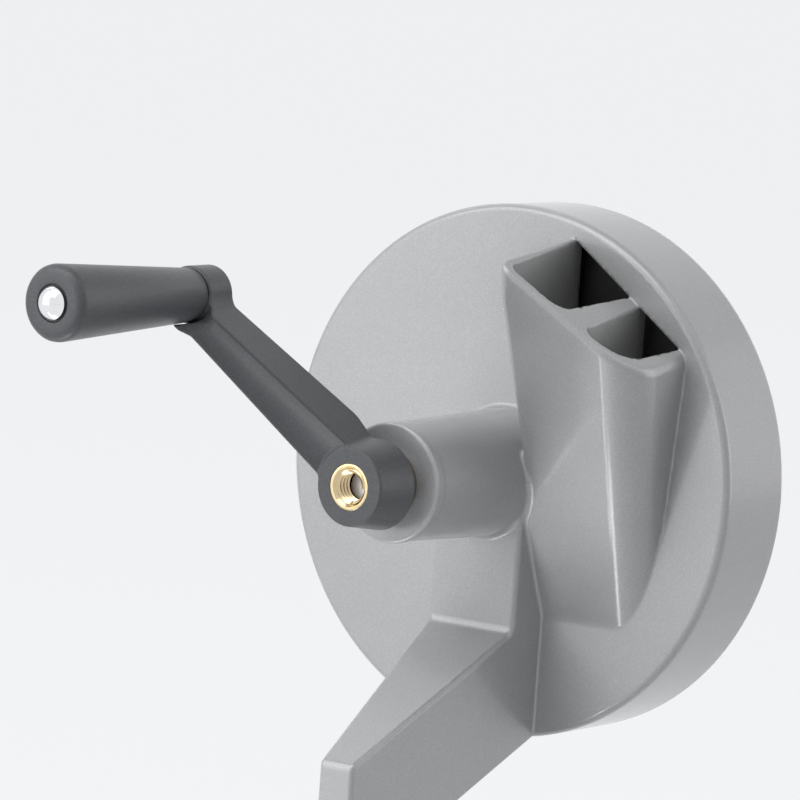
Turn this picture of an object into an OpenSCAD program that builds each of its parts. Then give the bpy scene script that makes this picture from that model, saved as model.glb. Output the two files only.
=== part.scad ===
// Hand cranked bean slicer with a table clamp. Lengths are in millimetres.
// The origin is the middle of the clamp's upper seat, on the table top and on the spindle's axis.
// X runs to the right, Y away from the crank towards the open back of the drum, and Z up.

/* [Drum] */
// Outer diameter of the drum
drum_d = 160; // [154:1:180]
// Depth of the drum, from its face to its open back
drum_depth = 30; // [27:1:45]
// Thickness of the drum's face
face_wall = 4; // [3:0.5:6]
// Thickness of the drum's rim
rim_wall = 3.5; // [2.5:0.5:6]
// Radius of the drum's front edge
drum_edge_r = 2.5; // [1:0.5:3]
// Height of the drum's axis above the table top
axis_height = 115; // [108:1:140]

/* [Bearing tube] */
// How far the bearing tube stands out of the drum's face
tube_len = 58.2; // [50:0.2:66]
// Diameter of the tube at its front end
tube_front_d = 34.8; // [30:0.2:38]
// Diameter of the tube behind its taper
tube_root_d = 38.4; // [31:0.2:40]
// Radius of the fillet between the tube and the drum's face
tube_fillet_r = 3; // [1:0.5:6]
// Radius of the bead round the tube's front end
tube_bead_r = 1.5; // [0.8:0.1:2]
// Diameter of the two bearing seats in the tube
bush_seat_d = 18; // [17:0.5:22]
// Diameter of the cored hollow between the two seats
tube_core_d = 23; // [22:0.5:26]
// Length of each bush inside the tube
bush_len = 15; // [8:1:20]
// Thickness of each bush's flange
bush_flange_t = 1.8; // [1:0.1:2.5]
// Diameter of each bush's flange
bush_flange_d = 20.5; // [19.5:0.5:27]

/* [Chute] */
// Distance from the drum's axis to the chute's left side
chute_x = 17.3; // [17:0.1:22]
// Distance from the chute's right side, at its foot, to the drum's outer side
chute_side_gap = 24.3; // [22:0.1:30]
// How far below the axis the chute's front wall leaves the drum's face
chute_foot = 41.3; // [34:0.1:44]
// Lean of the chute's front wall away from the drum's face, in degrees
chute_tilt = 19.4; // [15:0.2:22]
// Lean of the chute's right side, in degrees
chute_flare = 4.6; // [2:0.2:5]
// Radius of the chute's outer right corner
chute_corner_r = 12; // [8:0.5:13]
// Radius of the chute's outer left corner
chute_edge_r = 2.5; // [1:0.5:4]
// Thickness of the chute's front and right walls
chute_wall = 2.8; // [2:0.1:3.5]
// Thickness of the chute's left wall where it joins the drum's face
left_wall = 2; // [1.6:0.1:3]
// Thickness of the wall between the two channels where it joins the drum's face
partition_wall = 3.4; // [3:0.1:5]
// Share of the two channels' width that the left one has at the foot
left_channel_share = 0.69; // [0.5:0.01:0.75]
// Taper of the channels' left sides towards the front, in degrees
channel_left_draft = 1.5; // [1:0.5:6]
// Taper of the channels' right sides towards the front, in degrees
channel_right_draft = 4.5; // [1:0.5:6]
// Radius of the channels' inner corners
channel_corner_r = 4; // [2:0.5:6]
// How far the mouth's left end lies below the drum's rim, on the drum's face
mouth_rim_gap = 5.1; // [4:0.1:12]
// Slope of the mouth down to the right, in degrees
mouth_slope = 34.65; // [30:0.5:40]
// Tilt of the mouth down to the front, in degrees
mouth_tilt = 8.5; // [5:0.5:20]

/* [Leg and clamp frame] */
// How far the leg's upper pad stands out of the drum's face
pad_depth = 12; // [9:0.5:15]
// Half of the leg's width at the drum's face
leg_root_half_w = 17.3; // [15:0.1:17.5]
// Half of the column's width at its front
column_half_w = 6; // [5:0.5:9]
// How far the column's front stands out of the drum's face
column_reach = 74; // [70:1:80]
// Depth of the column from front to back
column_depth = 28; // [22:1:32]
// How far below the axis the pad bends into the strut
shoulder_drop = 46; // [42:1:50]
// Slope of the strut, in degrees
strut_slope = 30; // [25:1:33]
// Height of the strut, measured straight down
strut_height = 39.5; // [34:0.5:42]
// Throat of the clamp, from the column's back to the spindle's axis
throat = 16; // [14:0.5:20]
// Radius of the round noses of the two jaws
nose_r = 14; // [12.5:0.5:16]
// Thickness of the upper jaw
upper_jaw_t = 12; // [9:0.5:14]
// Thickness of the lower jaw
lower_jaw_t = 18; // [14:0.5:24]
// Thickest table top that the clamp takes
clamp_gap = 45; // [35:1:60]
// Thinnest table top that the clamp takes
clamp_gap_min = 5; // [3:1:15]

/* [Shaft and fastenings] */
// Diameter of the drive shaft in its bushes
shaft_d = 12; // [11:0.5:14]
// Width across the flats that drive the knife disc
shaft_flats = 9.5; // [9:0.1:10.5]
// Diameter of the shaft's rear thread
rear_thread_d = 8; // [6:0.5:8.5]
// Diameter of the shaft's front thread, in the crank's brass insert
front_thread_d = 10; // [8:0.5:10.5]
// Thickness of the spacer washer behind the crank
front_washer_t = 3; // [1:0.1:4]
// Thickness of the rear washer
rear_washer_t = 0.8; // [0.5:0.1:1.2]
// Radial play of the shaft in its bushes
shaft_play = 0.05; // [0.02:0.01:0.09]
// Axial play between parts that turn on each other
axial_play = 0.3; // [0.2:0.05:0.5]
// Thickness of the disc nut
nut_t = 5.5; // [4:0.5:7]
// Width of the disc nut across its flats
nut_flats = 13; // [12:0.5:15]
// Diameter of the washer under the disc nut
disc_washer_d = 24; // [20:0.5:28]
// Thickness of the washer under the disc nut
disc_washer_t = 1.6; // [1:0.1:2.5]
// Thickness of the spring washer
spring_washer_t = 2; // [1.5:0.1:2.5]
// Outer diameter of the spring washer
spring_washer_d = 14.4; // [13:0.2:16]

/* [Knife disc] */
// Gap between the knife disc's edge and the drum's rim
disc_side_gap = 2; // [1:0.5:4]
// Gap between the knives' edges and the drum's face
knife_gap = 0.7; // [0.5:0.1:1.5]
// Thickness of the knife disc
disc_t = 4; // [3:0.5:6]
// Diameter of the knife disc's hub
disc_hub_d = 32; // [28:1:36]
// Depth of the knife disc with its hub
disc_hub_t = 11; // [9:0.5:14]
// Width of the stiffening bead round the knife disc
disc_bead_w = 3; // [2:0.5:4]
// Depth of the knife disc with its bead
disc_bead_t = 8; // [6:0.5:10]
// Number of knives
knife_count = 3; // [2:1:3]
// Distance from each knife's outer end to the disc's edge
knife_end_gap = 4; // [3.5:0.1:12]
// Width of each knife
knife_w = 14; // [11:0.5:16]
// Thickness of each knife
knife_t = 1.2; // [0.8:0.1:2]
// Width of each knife's ground bevel
knife_bevel_w = 2.5; // [1.5:0.5:4]
// Distance from the disc's hub to each knife's inner end
knife_hub_gap = 4.5; // [3:0.5:6]
// Slope of each knife out of the disc, in degrees
knife_slope = 8; // [5:0.5:10]
// How far each knife's edge hangs over its slot
knife_overhang = 3; // [2:0.5:4]
// Width of each slot in the disc
slot_w = 9; // [7:0.5:11]
// Thread diameter of the knife screws
knife_screw_d = 4; // [3:0.5:4.5]
// Head diameter of the knife screws
knife_screw_head_d = 7; // [5.5:0.5:8]
// Length of the knife screws
knife_screw_len = 5.5; // [5:0.5:8]

/* [Crank] */
// Distance from the shaft's axis to the grip's axis
crank_throw = 71.4; // [60:0.1:85]
// Angle of the crank above the right-hand horizontal at rest, in degrees
crank_angle = 134.6; // [100:0.2:170]
// Diameter of the crank's hub
crank_hub_d = 27; // [25:0.5:32]
// Diameter of the crank's hub at its front
crank_hub_front_d = 23; // [21:0.2:28]
// Depth of the crank's hub
crank_hub_t = 14.2; // [12:0.1:20]
// Radius of the hub's front edge
crank_hub_edge_r = 0.6; // [0.3:0.1:2]
// Diameter of the brass insert
insert_d = 13.8; // [12.5:0.2:16]
// How far the shaft's front end lies inside the insert's mouth
shaft_end_recess = 6.5; // [2:0.5:9]
// Width of the arm at the hub's axis
arm_root_w = 15.4; // [11:0.2:18]
// Depth of the arm near the hub
arm_root_t = 17.9; // [15:0.1:20]
// Width of the arm at the grip's axis
arm_tip_w = 9; // [8:0.2:12]
// Depth of the arm near the grip
arm_tip_t = 13.7; // [11:0.1:15]
// How far the arm's lip reaches forward under the grip
arm_lip = 9; // [3:0.5:12]
// How far the grip's boss stands forward of the crank's hub, from back to back
arm_offset = 21.3; // [16:0.1:26]
// Diameter of the boss that carries the grip
grip_boss_d = 17; // [15:0.2:20]
// Depth of the boss that carries the grip
grip_boss_t = 10.5; // [9:0.5:14]
// Length of the grip
grip_len = 61.5; // [50:0.5:75]
// Diameter of the grip next to the boss
grip_root_d = 15.8; // [12:0.2:17]
// Diameter of the grip at its free end
grip_end_d = 23; // [19:0.5:26]
// Radius of the grip's free edge
grip_edge_r = 3; // [1:0.5:4]
// Diameter of the pin that the grip turns on
grip_pin_d = 6; // [5:0.5:7]
// Diameter of the pin's domed head
grip_head_d = 9.8; // [8.5:0.2:12]
// Height of the pin's domed head
grip_head_h = 2.8; // [1.5:0.1:4]
// Radial play of the grip on its pin
grip_play = 0.06; // [0.02:0.01:0.09]

/* [Spindle] */
// Diameter of the clamp spindle
spindle_d = 10; // [8:0.5:12]
// Radial play of the spindle in the lower jaw
spindle_play = 0.05; // [0.02:0.01:0.09]
// Diameter of the spindle's neck in the pressure plate
neck_d = 6; // [5:0.5:7]
// Diameter of the pressure plate
plate_d = 30; // [24:1:32]
// Thickness of the pressure plate
plate_t = 5; // [4.5:0.5:8]
// Thickness of the pressure plate's web round the neck
plate_web_t = 2; // [1.5:0.1:2.5]
// Thickness of the soft pad on the pressure plate
plate_pad_t = 2.5; // [1.5:0.5:4]
// Diameter of the washer that holds the plate on the neck
plate_washer_d = 12; // [10:0.5:14]
// Thickness of the washer that holds the plate on the neck
plate_washer_t = 1.2; // [0.8:0.1:1.5]
// Diameter of the clamp knob's hub
knob_hub_d = 22; // [18:0.5:28]
// Height of the clamp knob
knob_h = 17; // [14:0.5:24]
// Span of the clamp knob across its wings
knob_span = 62; // [50:1:80]
// Thickness of the clamp knob's wings
knob_wing_t = 7; // [5:0.5:10]
// Diameter of the pin across the clamp knob
knob_pin_d = 4; // [3:0.5:5]

/* [Hidden] */
$fn = 96;

// Colours of the finishes
cast_grey = [0.66, 0.67, 0.68];
charcoal = [0.24, 0.25, 0.27];
steel_grey = [0.72, 0.73, 0.75];
brass_gold = [0.80, 0.64, 0.33];
chrome_white = [0.85, 0.87, 0.90];
pad_black = [0.12, 0.12, 0.13];
lacquer_black = [0.16, 0.16, 0.17];

// How far a cut runs past the surface that it opens
overrun = 1;
// Gap between parts of one body that sit in each other
seat_gap = 0.05;
// Larger than the whole slicer, for half spaces
reach = 3 * drum_d;
// Depth to which the chute, tube and leg run into the drum's wall
embed = face_wall / 2;

// Drum and frame
drum_r = drum_d / 2;
column_back = -throat;
column_front = column_back - column_depth;
face_y = column_front + column_reach;
column_back_drop = column_reach - column_depth;
strut_rise = tan(strut_slope);
bend_drop = shoulder_drop + (column_reach - pad_depth) * strut_rise;
strut_foot_y = pad_depth / 2;
strut_foot_drop = shoulder_drop + strut_height - (pad_depth - strut_foot_y) * strut_rise;
jaw_top_drop = axis_height - upper_jaw_t;
under_end_y = min(column_back_drop, strut_foot_y + (jaw_top_drop - strut_foot_drop) / strut_rise);
under_end_drop = strut_foot_drop + (under_end_y - strut_foot_y) * strut_rise;
leg_root_y = min(drum_edge_r, face_wall) + overrun / 4;
leg_root_drop = sqrt(pow(drum_r, 2) - pow(leg_root_half_w, 2)) - rim_wall / 4;

// Bushes, and the stack on the shaft in front of the drum, measured forward from the drum's face
tube_front_r = tube_front_d / 2;
tube_root_r = tube_root_d / 2;
front_flange_end = tube_len + bush_flange_t;
front_washer_start = front_flange_end + axial_play;
crank_back = front_washer_start + front_washer_t;
crank_front = crank_back + crank_hub_t;
bush_bore_r = shaft_d / 2 + shaft_play;

// The stack behind the drum's face, measured backward from the face
rear_flange_end = face_wall + bush_flange_t;
knife_rise = knife_w * sin(knife_slope);
disc_front = max(face_wall + knife_gap + knife_rise, rear_flange_end + axial_play + rear_washer_t);
rear_washer_start = disc_front - rear_washer_t;
disc_back = disc_front + disc_t;
hub_back = disc_front + disc_hub_t;
spring_start = hub_back + disc_washer_t;
nut_start = spring_start + spring_washer_t;
shaft_back = nut_start + nut_t + overrun;
disc_r = drum_r - rim_wall - disc_side_gap;
knife_inner_r = disc_hub_d / 2 + knife_hub_gap;
knife_len = disc_r - knife_end_gap - knife_inner_r;

// Chute: its height and its outer and inner widths at the foot
mouth_height = sqrt(pow(drum_r, 2) - pow(chute_x, 2)) - mouth_rim_gap;
chute_foot_w = drum_r - chute_side_gap - chute_x;
channels_w = chute_foot_w - left_wall - partition_wall - chute_wall;
left_channel_w = left_channel_share * channels_w;

// Depth of the mouth, over which the channels' sides draw in from the drum's face to the front wall
mouth_depth = (mouth_height + chute_foot) * sin(chute_tilt);

// Crank arm, in a frame whose first axis runs from the shaft to the grip
grip_boss_back = crank_back + arm_offset;
grip_boss_front = grip_boss_back + grip_boss_t;
grip_start = grip_boss_front + axial_play;
grip_end = grip_start + grip_len;
grip_bore_r = grip_pin_d / 2 + grip_play;
crank_hub_r = crank_hub_d / 2;
crank_front_r = crank_hub_front_d / 2;
arm_root_u = 3 * crank_hub_r / 2;
arm_tip_u = crank_throw - grip_boss_d / 2;
arm_lip_u = arm_tip_u - axial_play;

// Spindle, measured down from the table top at the widest opening
plate_top = clamp_gap + plate_pad_t;
plate_bottom = plate_top + plate_t;
plate_recess_bottom = plate_bottom - plate_web_t;
plate_washer_bottom = plate_recess_bottom - axial_play;
spindle_shoulder = plate_bottom + axial_play;
lower_jaw_top = spindle_shoulder + plate_pad_t;
lower_jaw_bottom = lower_jaw_top + lower_jaw_t;
spindle_travel = clamp_gap - clamp_gap_min;
knob_top = lower_jaw_bottom + spindle_travel + plate_pad_t;
knob_bottom = knob_top + knob_h;

// Points of an arc about (x, y), from one angle to another
function arc(x, y, r, from, to, steps = 10) =
  [for (i = [0:steps]) let (a = from + (to - from) * i / steps) [x + r * cos(a), y + r * sin(a)]];

// Turns the Z axis forward, out of the drum's face, and moves it to the drum's axis
module forward() {
  translate([0, face_y, axis_height]) rotate([90, 0, 0]) children();
}

// Turns the Z axis backward, through the drum, and moves it to the drum's axis
module backward() {
  translate([0, face_y, axis_height]) rotate([-90, 0, 0]) children();
}

// A round ring or plain washer that starts at the given height
module ring(outer_d, inner_d, start, t) {
  translate([0, 0, start]) difference() {
    cylinder(d = outer_d, h = t);
    translate([0, 0, -overrun]) cylinder(d = inner_d, h = t + 2 * overrun);
  }
}

// The drum: a shallow cup, open at its back
module drum_cup() {
  backward() rotate_extrude() difference() {
    union() {
      square([drum_r - drum_edge_r, drum_depth]);
      translate([0, drum_edge_r]) square([drum_r, drum_depth - drum_edge_r]);
      translate([drum_r - drum_edge_r, drum_edge_r]) intersection() {
        circle(drum_edge_r);
        translate([0, -drum_edge_r]) square(drum_edge_r);
      }
    }
    translate([0, face_wall]) square([drum_r - rim_wall, drum_depth]);
  }
}

// The bearing tube with its bead and the fillet at its root
module tube_body() {
  forward() rotate_extrude() union() {
    polygon(concat(
      [[0, -embed], [tube_root_r + tube_fillet_r, -embed]],
      arc(tube_root_r + tube_fillet_r, tube_fillet_r, tube_fillet_r, 270, 180),
      [[tube_front_r, tube_len - tube_bead_r], [tube_front_r - tube_bead_r, tube_len], [0, tube_len]]));
    translate([tube_front_r - tube_bead_r / 2, tube_len - tube_bead_r]) circle(tube_bead_r);
  }
}

// The two bearing seats and the cored hollow between them
module tube_bore() {
  forward() {
    translate([0, 0, -face_wall - overrun])
      cylinder(d = bush_seat_d, h = tube_len + face_wall + 2 * overrun);
    translate([0, 0, bush_len - face_wall])
      cylinder(d = tube_core_d, h = tube_len + face_wall - 2 * bush_len);
  }
}

// Puts a shape into the frame of the chute's front wall: Z along the wall, Y square to it
module on_chute_wall() {
  translate([0, face_y, axis_height - chute_foot]) rotate([chute_tilt, 0, 0]) children();
}

// A quarter plane to the right of x and behind y, with a rounded corner
module left_corner(x, y, r) {
  union() {
    translate([x + r, y]) square(reach);
    translate([x, y + r]) square(reach);
    translate([x + r, y + r]) circle(r);
  }
}

// A quarter plane to the left of x and behind y, with a rounded corner
module right_corner(x, y, r) {
  translate([x, 0]) mirror([1, 0]) left_corner(0, y, r);
}

// A column along the chute's front wall, between a straight left side and a flared right side
module chute_column(left, right, inset, left_r, right_r) {
  on_chute_wall() intersection() {
    translate([0, 0, -drum_depth]) linear_extrude(reach) left_corner(left, inset, left_r);
    translate([right, 0, 0]) rotate([0, chute_flare, 0]) translate([0, 0, -drum_depth])
      linear_extrude(reach) right_corner(0, inset, right_r);
  }
}

// Everything right of a channel's side, which tapers to the front wall, with a rounded corner
module channel_side(x, r, draft) {
  front_x = x + mouth_depth * tan(draft);
  polygon(concat(
    arc(front_x + r * (1 - sin(draft)) / cos(draft), chute_wall + r, r, 180 + draft, 270),
    [[reach, chute_wall], [reach, reach], [front_x - reach * tan(draft), reach]]));
}

// One channel in the frame of the chute's front wall, with its right side leaning by the given angle
module channel(left, right, left_r, right_r, lean) {
  on_chute_wall() intersection() {
    translate([0, 0, -drum_depth]) linear_extrude(reach) channel_side(left, left_r, channel_left_draft);
    translate([right, 0, 0]) rotate([0, lean, 0]) translate([0, 0, -drum_depth])
      linear_extrude(reach) mirror([1, 0]) channel_side(0, right_r, channel_right_draft);
  }
}

// Everything between two depths behind the drum's face
module face_slab(from, to) {
  translate([-reach / 2, face_y + from, axis_height - reach / 2]) cube([reach, to - from, reach]);
}

// Everything above the plane of the chute's mouth
module above_mouth() {
  translate([chute_x, face_y, axis_height + mouth_height]) rotate([mouth_tilt, 0, 0])
    rotate([0, mouth_slope, 0]) translate([-reach / 2, -reach / 2, 0]) cube(reach);
}

// The chute's outer shape
module chute_body() {
  difference() {
    intersection() {
      chute_column(chute_x, chute_x + chute_foot_w, 0, chute_edge_r, chute_corner_r);
      face_slab(-drum_d, embed);
    }
    above_mouth();
  }
}

// The two channels for the beans, side by side
module channels() {
  left = chute_x + left_wall;
  partition = left + left_channel_w;
  channel(left, partition, channel_corner_r, channel_corner_r, 0);
  channel(partition + partition_wall, chute_x + chute_foot_w - chute_wall, channel_corner_r,
    chute_corner_r - chute_wall, chute_flare);
}

// The channels as they are cut: open above the mouth in front of the drum, closed above it in the face
module channel_cuts() {
  intersection() {
    channels();
    face_slab(-drum_d, 0);
  }
  difference() {
    intersection() {
      channels();
      face_slab(-overrun, face_wall + overrun);
    }
    above_mouth();
  }
}

// The leg's side outline from the bearing tube to the bottom of the column, extruded across
module leg_side() {
  translate([0, face_y, axis_height]) rotate([90, 0, 90]) linear_extrude(2 * drum_r, center = true)
    polygon([[leg_root_y, 0], [-pad_depth, 0], [-pad_depth, -shoulder_drop], [-column_reach, -bend_drop],
      [-column_reach, -axis_height - lower_jaw_bottom],
      [-column_back_drop, -axis_height - lower_jaw_bottom],
      [-column_back_drop, -jaw_top_drop], [-under_end_y, -under_end_drop],
      [-strut_foot_y, -strut_foot_drop], [leg_root_y, -leg_root_drop]]);
}

// The leg seen from above: a wedge that narrows towards the column's front
module leg_plan(back) {
  slope = (leg_root_half_w - column_half_w) / column_reach;
  half_back = column_half_w + slope * (back - column_front);
  polygon([
    [-column_half_w, column_front], [column_half_w, column_front],
    [half_back, back], [-half_back, back]]);
}

// One jaw: the wedge as far as the spindle's axis, then a round nose
module jaw(top, t) {
  translate([0, 0, -top - t]) {
    linear_extrude(t) leg_plan(0);
    cylinder(r = nose_r, h = t);
  }
}

module leg() {
  intersection() {
    leg_side();
    translate([0, 0, -reach / 2]) linear_extrude(reach) leg_plan(face_y + leg_root_y);
  }
  jaw(-upper_jaw_t, upper_jaw_t);
  jaw(lower_jaw_top, lower_jaw_t);
}

// One aluminium casting: drum, bearing tube, chute, leg and clamp frame
module housing() {
  color(cast_grey) difference() {
    union() {
      drum_cup();
      tube_body();
      chute_body();
      leg();
    }
    tube_bore();
    channel_cuts();
    translate([0, 0, -lower_jaw_bottom - overrun])
      cylinder(r = spindle_d / 2 + spindle_play, h = lower_jaw_t + 2 * overrun);
  }
}

// A flanged bush whose flange starts at height 0 and whose sleeve runs down from it
module bushing() {
  difference() {
    union() {
      translate([0, 0, -bush_len]) cylinder(d = bush_seat_d, h = bush_len);
      cylinder(d = bush_flange_d, h = bush_flange_t);
    }
    translate([0, 0, -bush_len - overrun])
      cylinder(r = bush_bore_r, h = bush_len + bush_flange_t + 2 * overrun);
  }
}

module front_bushing() {
  color(brass_gold) forward() translate([0, 0, tube_len]) bushing();
}

module rear_bushing() {
  color(brass_gold) backward() translate([0, 0, face_wall]) bushing();
}

// Steel shaft: front thread, round bearing length, two flats for the disc, rear thread
module drive_shaft() {
  color(steel_grey) forward() {
    cylinder(d = front_thread_d - 2 * seat_gap, h = crank_front - shaft_end_recess);
    translate([0, 0, -disc_front]) cylinder(d = shaft_d, h = disc_front + crank_back);
    translate([0, 0, -hub_back + seat_gap]) intersection() {
      cylinder(d = shaft_d, h = hub_back);
      translate([-shaft_d / 2, -shaft_flats / 2, 0]) cube([shaft_d, shaft_flats, hub_back]);
    }
    translate([0, 0, -shaft_back]) cylinder(d = rear_thread_d, h = shaft_back);
  }
}

module front_washer() {
  color(steel_grey) forward()
    ring(bush_flange_d, shaft_d + 2 * seat_gap, front_washer_start, front_washer_t);
}

module rear_washer() {
  color(steel_grey) backward()
    ring(bush_flange_d, shaft_d + 2 * seat_gap, rear_washer_start, rear_washer_t);
}

// Turns and moves a shape onto the knife at the given place in the row of knives
module at_knife(index) {
  forward() rotate([0, 0, index * 360 / knife_count])
    translate([knife_inner_r, 0, -disc_front]) children();
}

// Puts a shape on a knife's sloping seat: X outward, Y towards the knife's back, Z out of the seat
module on_seat() {
  translate([0, knife_w - knife_overhang, -knife_t]) rotate([-knife_slope, 0, 0])
    translate([0, -knife_w, 0]) children();
}

// The two screw places along a knife
module at_knife_screws() {
  for (side = [-1, 1])
    translate([knife_len / 2 + side * knife_len / 3, (knife_w + knife_bevel_w + knife_overhang) / 2, 0])
      children();
}

// Slot and sloping pocket for one knife
module knife_cut() {
  translate([overrun, -slot_w, -disc_t - disc_bead_t])
    cube([knife_len - 2 * overrun, slot_w, 2 * disc_t + disc_bead_t]);
  on_seat() translate([-seat_gap, -slot_w, 0])
    cube([knife_len + 2 * seat_gap, slot_w + knife_w + seat_gap, disc_t]);
}

// One rib on the disc's back, between two knives
module disc_rib() {
  translate([0, -disc_bead_w / 2, 0])
    cube([disc_r - disc_bead_w / 2, disc_bead_w, disc_bead_t - seat_gap]);
}

// Cast disc with a hub, a bead, ribs on its back, and a slot with a sloping seat for each knife
module knife_disc() {
  color(lacquer_black) difference() {
    union() {
      backward() translate([0, 0, disc_front]) {
        cylinder(r = disc_r, h = disc_t);
        cylinder(d = disc_hub_d, h = disc_hub_t);
        ring(2 * disc_r, 2 * (disc_r - disc_bead_w), 0, disc_bead_t);
        for (i = [0:knife_count - 1]) rotate([0, 0, (i + 1 / 2) * 360 / knife_count]) disc_rib();
      }
    }
    backward() translate([0, 0, disc_front - overrun]) intersection() {
      cylinder(r = shaft_d / 2 + seat_gap, h = disc_hub_t + 2 * overrun);
      translate([-shaft_d, -shaft_flats / 2 - seat_gap, 0])
        cube([2 * shaft_d, shaft_flats + 2 * seat_gap, disc_hub_t + 2 * overrun]);
    }
    for (i = [0:knife_count - 1]) at_knife(i) {
      knife_cut();
      on_seat() at_knife_screws() translate([0, 0, -disc_t - disc_bead_t])
        cylinder(r = knife_screw_d / 2 + seat_gap, h = 2 * disc_t + disc_bead_t);
    }
  }
}

// One blade: a flat strip with a ground edge towards its slot and two countersunk holes
module knife(index) {
  if (index < knife_count) color(steel_grey) at_knife(index) on_seat() difference() {
    rotate([90, 0, 90]) linear_extrude(knife_len)
      polygon([[knife_w, 0], [knife_bevel_w, 0], [0, knife_t], [knife_w, knife_t]]);
    at_knife_screws() translate([0, 0, -seat_gap]) {
      cylinder(r = knife_screw_d / 2 + seat_gap, h = knife_t + 2 * seat_gap);
      translate([0, 0, seat_gap]) cylinder(d1 = knife_screw_d + 2 * seat_gap,
        d2 = knife_screw_head_d + 2 * seat_gap, h = knife_t + seat_gap);
    }
  }
}

module knife_1() { knife(0); }
module knife_2() { knife(1); }
module knife_3() { knife(2); }

// Two countersunk screws through each knife into the disc
module knife_screws() {
  color(steel_grey) for (i = [0:knife_count - 1]) at_knife(i) on_seat() at_knife_screws() {
    translate([0, 0, knife_t - knife_screw_len]) cylinder(d = knife_screw_d, h = knife_screw_len);
    cylinder(d1 = knife_screw_d, d2 = knife_screw_head_d, h = knife_t);
  }
}

module disc_washer() {
  color(steel_grey) backward()
    ring(disc_washer_d, rear_thread_d + 2 * seat_gap, hub_back, disc_washer_t);
}

// Split ring under the nut
module spring_washer() {
  color(steel_grey) backward() difference() {
    ring(spring_washer_d, rear_thread_d + 2 * seat_gap, spring_start, spring_washer_t);
    translate([0, -spring_washer_t / 4, spring_start - overrun]) rotate([0, 0, 30])
      cube([spring_washer_d, spring_washer_t / 2, spring_washer_t + 2 * overrun]);
  }
}

module disc_nut() {
  color(steel_grey) backward() translate([0, 0, nut_start]) difference() {
    cylinder(d = nut_flats / cos(30), h = nut_t, $fn = 6);
    translate([0, 0, -overrun]) cylinder(r = rear_thread_d / 2 + seat_gap, h = nut_t + 2 * overrun);
  }
}

// Turns the X axis along the crank's arm
module along_arm() {
  forward() rotate([0, 0, crank_angle]) children();
}

// The arm's side outline, from the hub to the boss that carries the grip, with its lip under the grip
module arm_side() {
  rotate([90, 0, 0]) linear_extrude(crank_hub_d, center = true) polygon([
    [0, crank_back], [arm_root_u, crank_back], [arm_tip_u, grip_boss_back],
    [crank_throw, grip_boss_back], [crank_throw, grip_boss_front], [arm_lip_u, grip_boss_front],
    [arm_lip_u, grip_boss_front + arm_lip], [arm_lip_u - arm_lip / 3, grip_boss_back + arm_tip_t],
    [arm_root_u, crank_back + arm_root_t],
    [crank_front_r - crank_hub_edge_r, crank_front], [0, crank_front]]);
}

// The arm's front outline: one long taper
module arm_front() {
  translate([0, 0, crank_back]) linear_extrude(grip_boss_front) polygon([
    [0, -arm_root_w / 2], [crank_throw, -arm_tip_w / 2],
    [crank_throw, arm_tip_w / 2], [0, arm_root_w / 2]]);
}

// Hub, slightly tapered, with a rounded front edge
module crank_hub() {
  translate([0, 0, crank_back]) rotate_extrude() polygon(concat(
    [[0, 0], [crank_hub_r, 0]],
    arc(crank_front_r - crank_hub_edge_r, crank_hub_t - crank_hub_edge_r, crank_hub_edge_r, 0, 90),
    [[0, crank_hub_t]]));
}

// Glass filled plastic arm with its hub and the boss that carries the grip
module crank_arm() {
  color(charcoal) along_arm() difference() {
    union() {
      crank_hub();
      intersection() {
        arm_side();
        arm_front();
      }
      translate([crank_throw, 0, grip_boss_back]) cylinder(d = grip_boss_d, h = grip_boss_t);
    }
    translate([0, 0, crank_back - overrun]) cylinder(d = insert_d, h = crank_hub_t + 2 * overrun);
    translate([crank_throw, 0, grip_boss_back + grip_boss_t / 4])
      cylinder(d = grip_pin_d, h = grip_boss_t + overrun);
  }
}

// Threaded brass insert moulded into the crank's hub
module crank_insert() {
  color(brass_gold) forward() translate([0, 0, crank_back]) difference() {
    cylinder(d = insert_d, h = crank_hub_t);
    translate([0, 0, -overrun]) cylinder(d = front_thread_d, h = crank_hub_t + 2 * overrun);
    translate([0, 0, crank_hub_t - overrun])
      cylinder(d1 = front_thread_d, d2 = front_thread_d + 2 * overrun, h = overrun + seat_gap);
  }
}

// Tapered grip with a rounded free end, bored for its pin
module crank_grip() {
  grip_taper = (grip_end_d - grip_root_d) / 2 / grip_len;
  shoulder_r = grip_end_d / 2 - grip_taper * grip_edge_r;
  color(charcoal) along_arm() translate([crank_throw, 0, grip_start]) difference() {
    rotate_extrude() polygon(concat(
      [[0, 0], [grip_root_d / 2, 0]],
      arc(shoulder_r - grip_edge_r, grip_len - grip_edge_r, grip_edge_r, 0, 90),
      [[0, grip_len]]));
    translate([0, 0, -overrun]) cylinder(r = grip_bore_r, h = grip_len + 2 * overrun);
  }
}

// Pin with a domed head, fixed in the arm's boss
module grip_pin() {
  dome_r = (pow(grip_head_d / 2, 2) + pow(grip_head_h, 2)) / (2 * grip_head_h);
  pin_start = grip_boss_back + grip_boss_t / 4;
  head_start = grip_end + axial_play;
  color(chrome_white) along_arm() translate([crank_throw, 0, 0]) {
    translate([0, 0, pin_start]) cylinder(d = grip_pin_d, h = head_start + grip_head_h / 2 - pin_start);
    intersection() {
      translate([0, 0, head_start + grip_head_h - dome_r]) sphere(dome_r);
      translate([0, 0, head_start]) cylinder(d = grip_head_d, h = grip_head_h + overrun);
    }
  }
}

// Threaded spindle with a shoulder and a neck for the pressure plate
module clamp_spindle() {
  color(steel_grey) difference() {
    union() {
      translate([0, 0, -knob_bottom]) cylinder(d = spindle_d, h = knob_bottom - spindle_shoulder);
      translate([0, 0, -spindle_shoulder])
        cylinder(d = neck_d, h = spindle_shoulder - plate_top - axial_play);
    }
    knob_pin_hole();
  }
}

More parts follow.
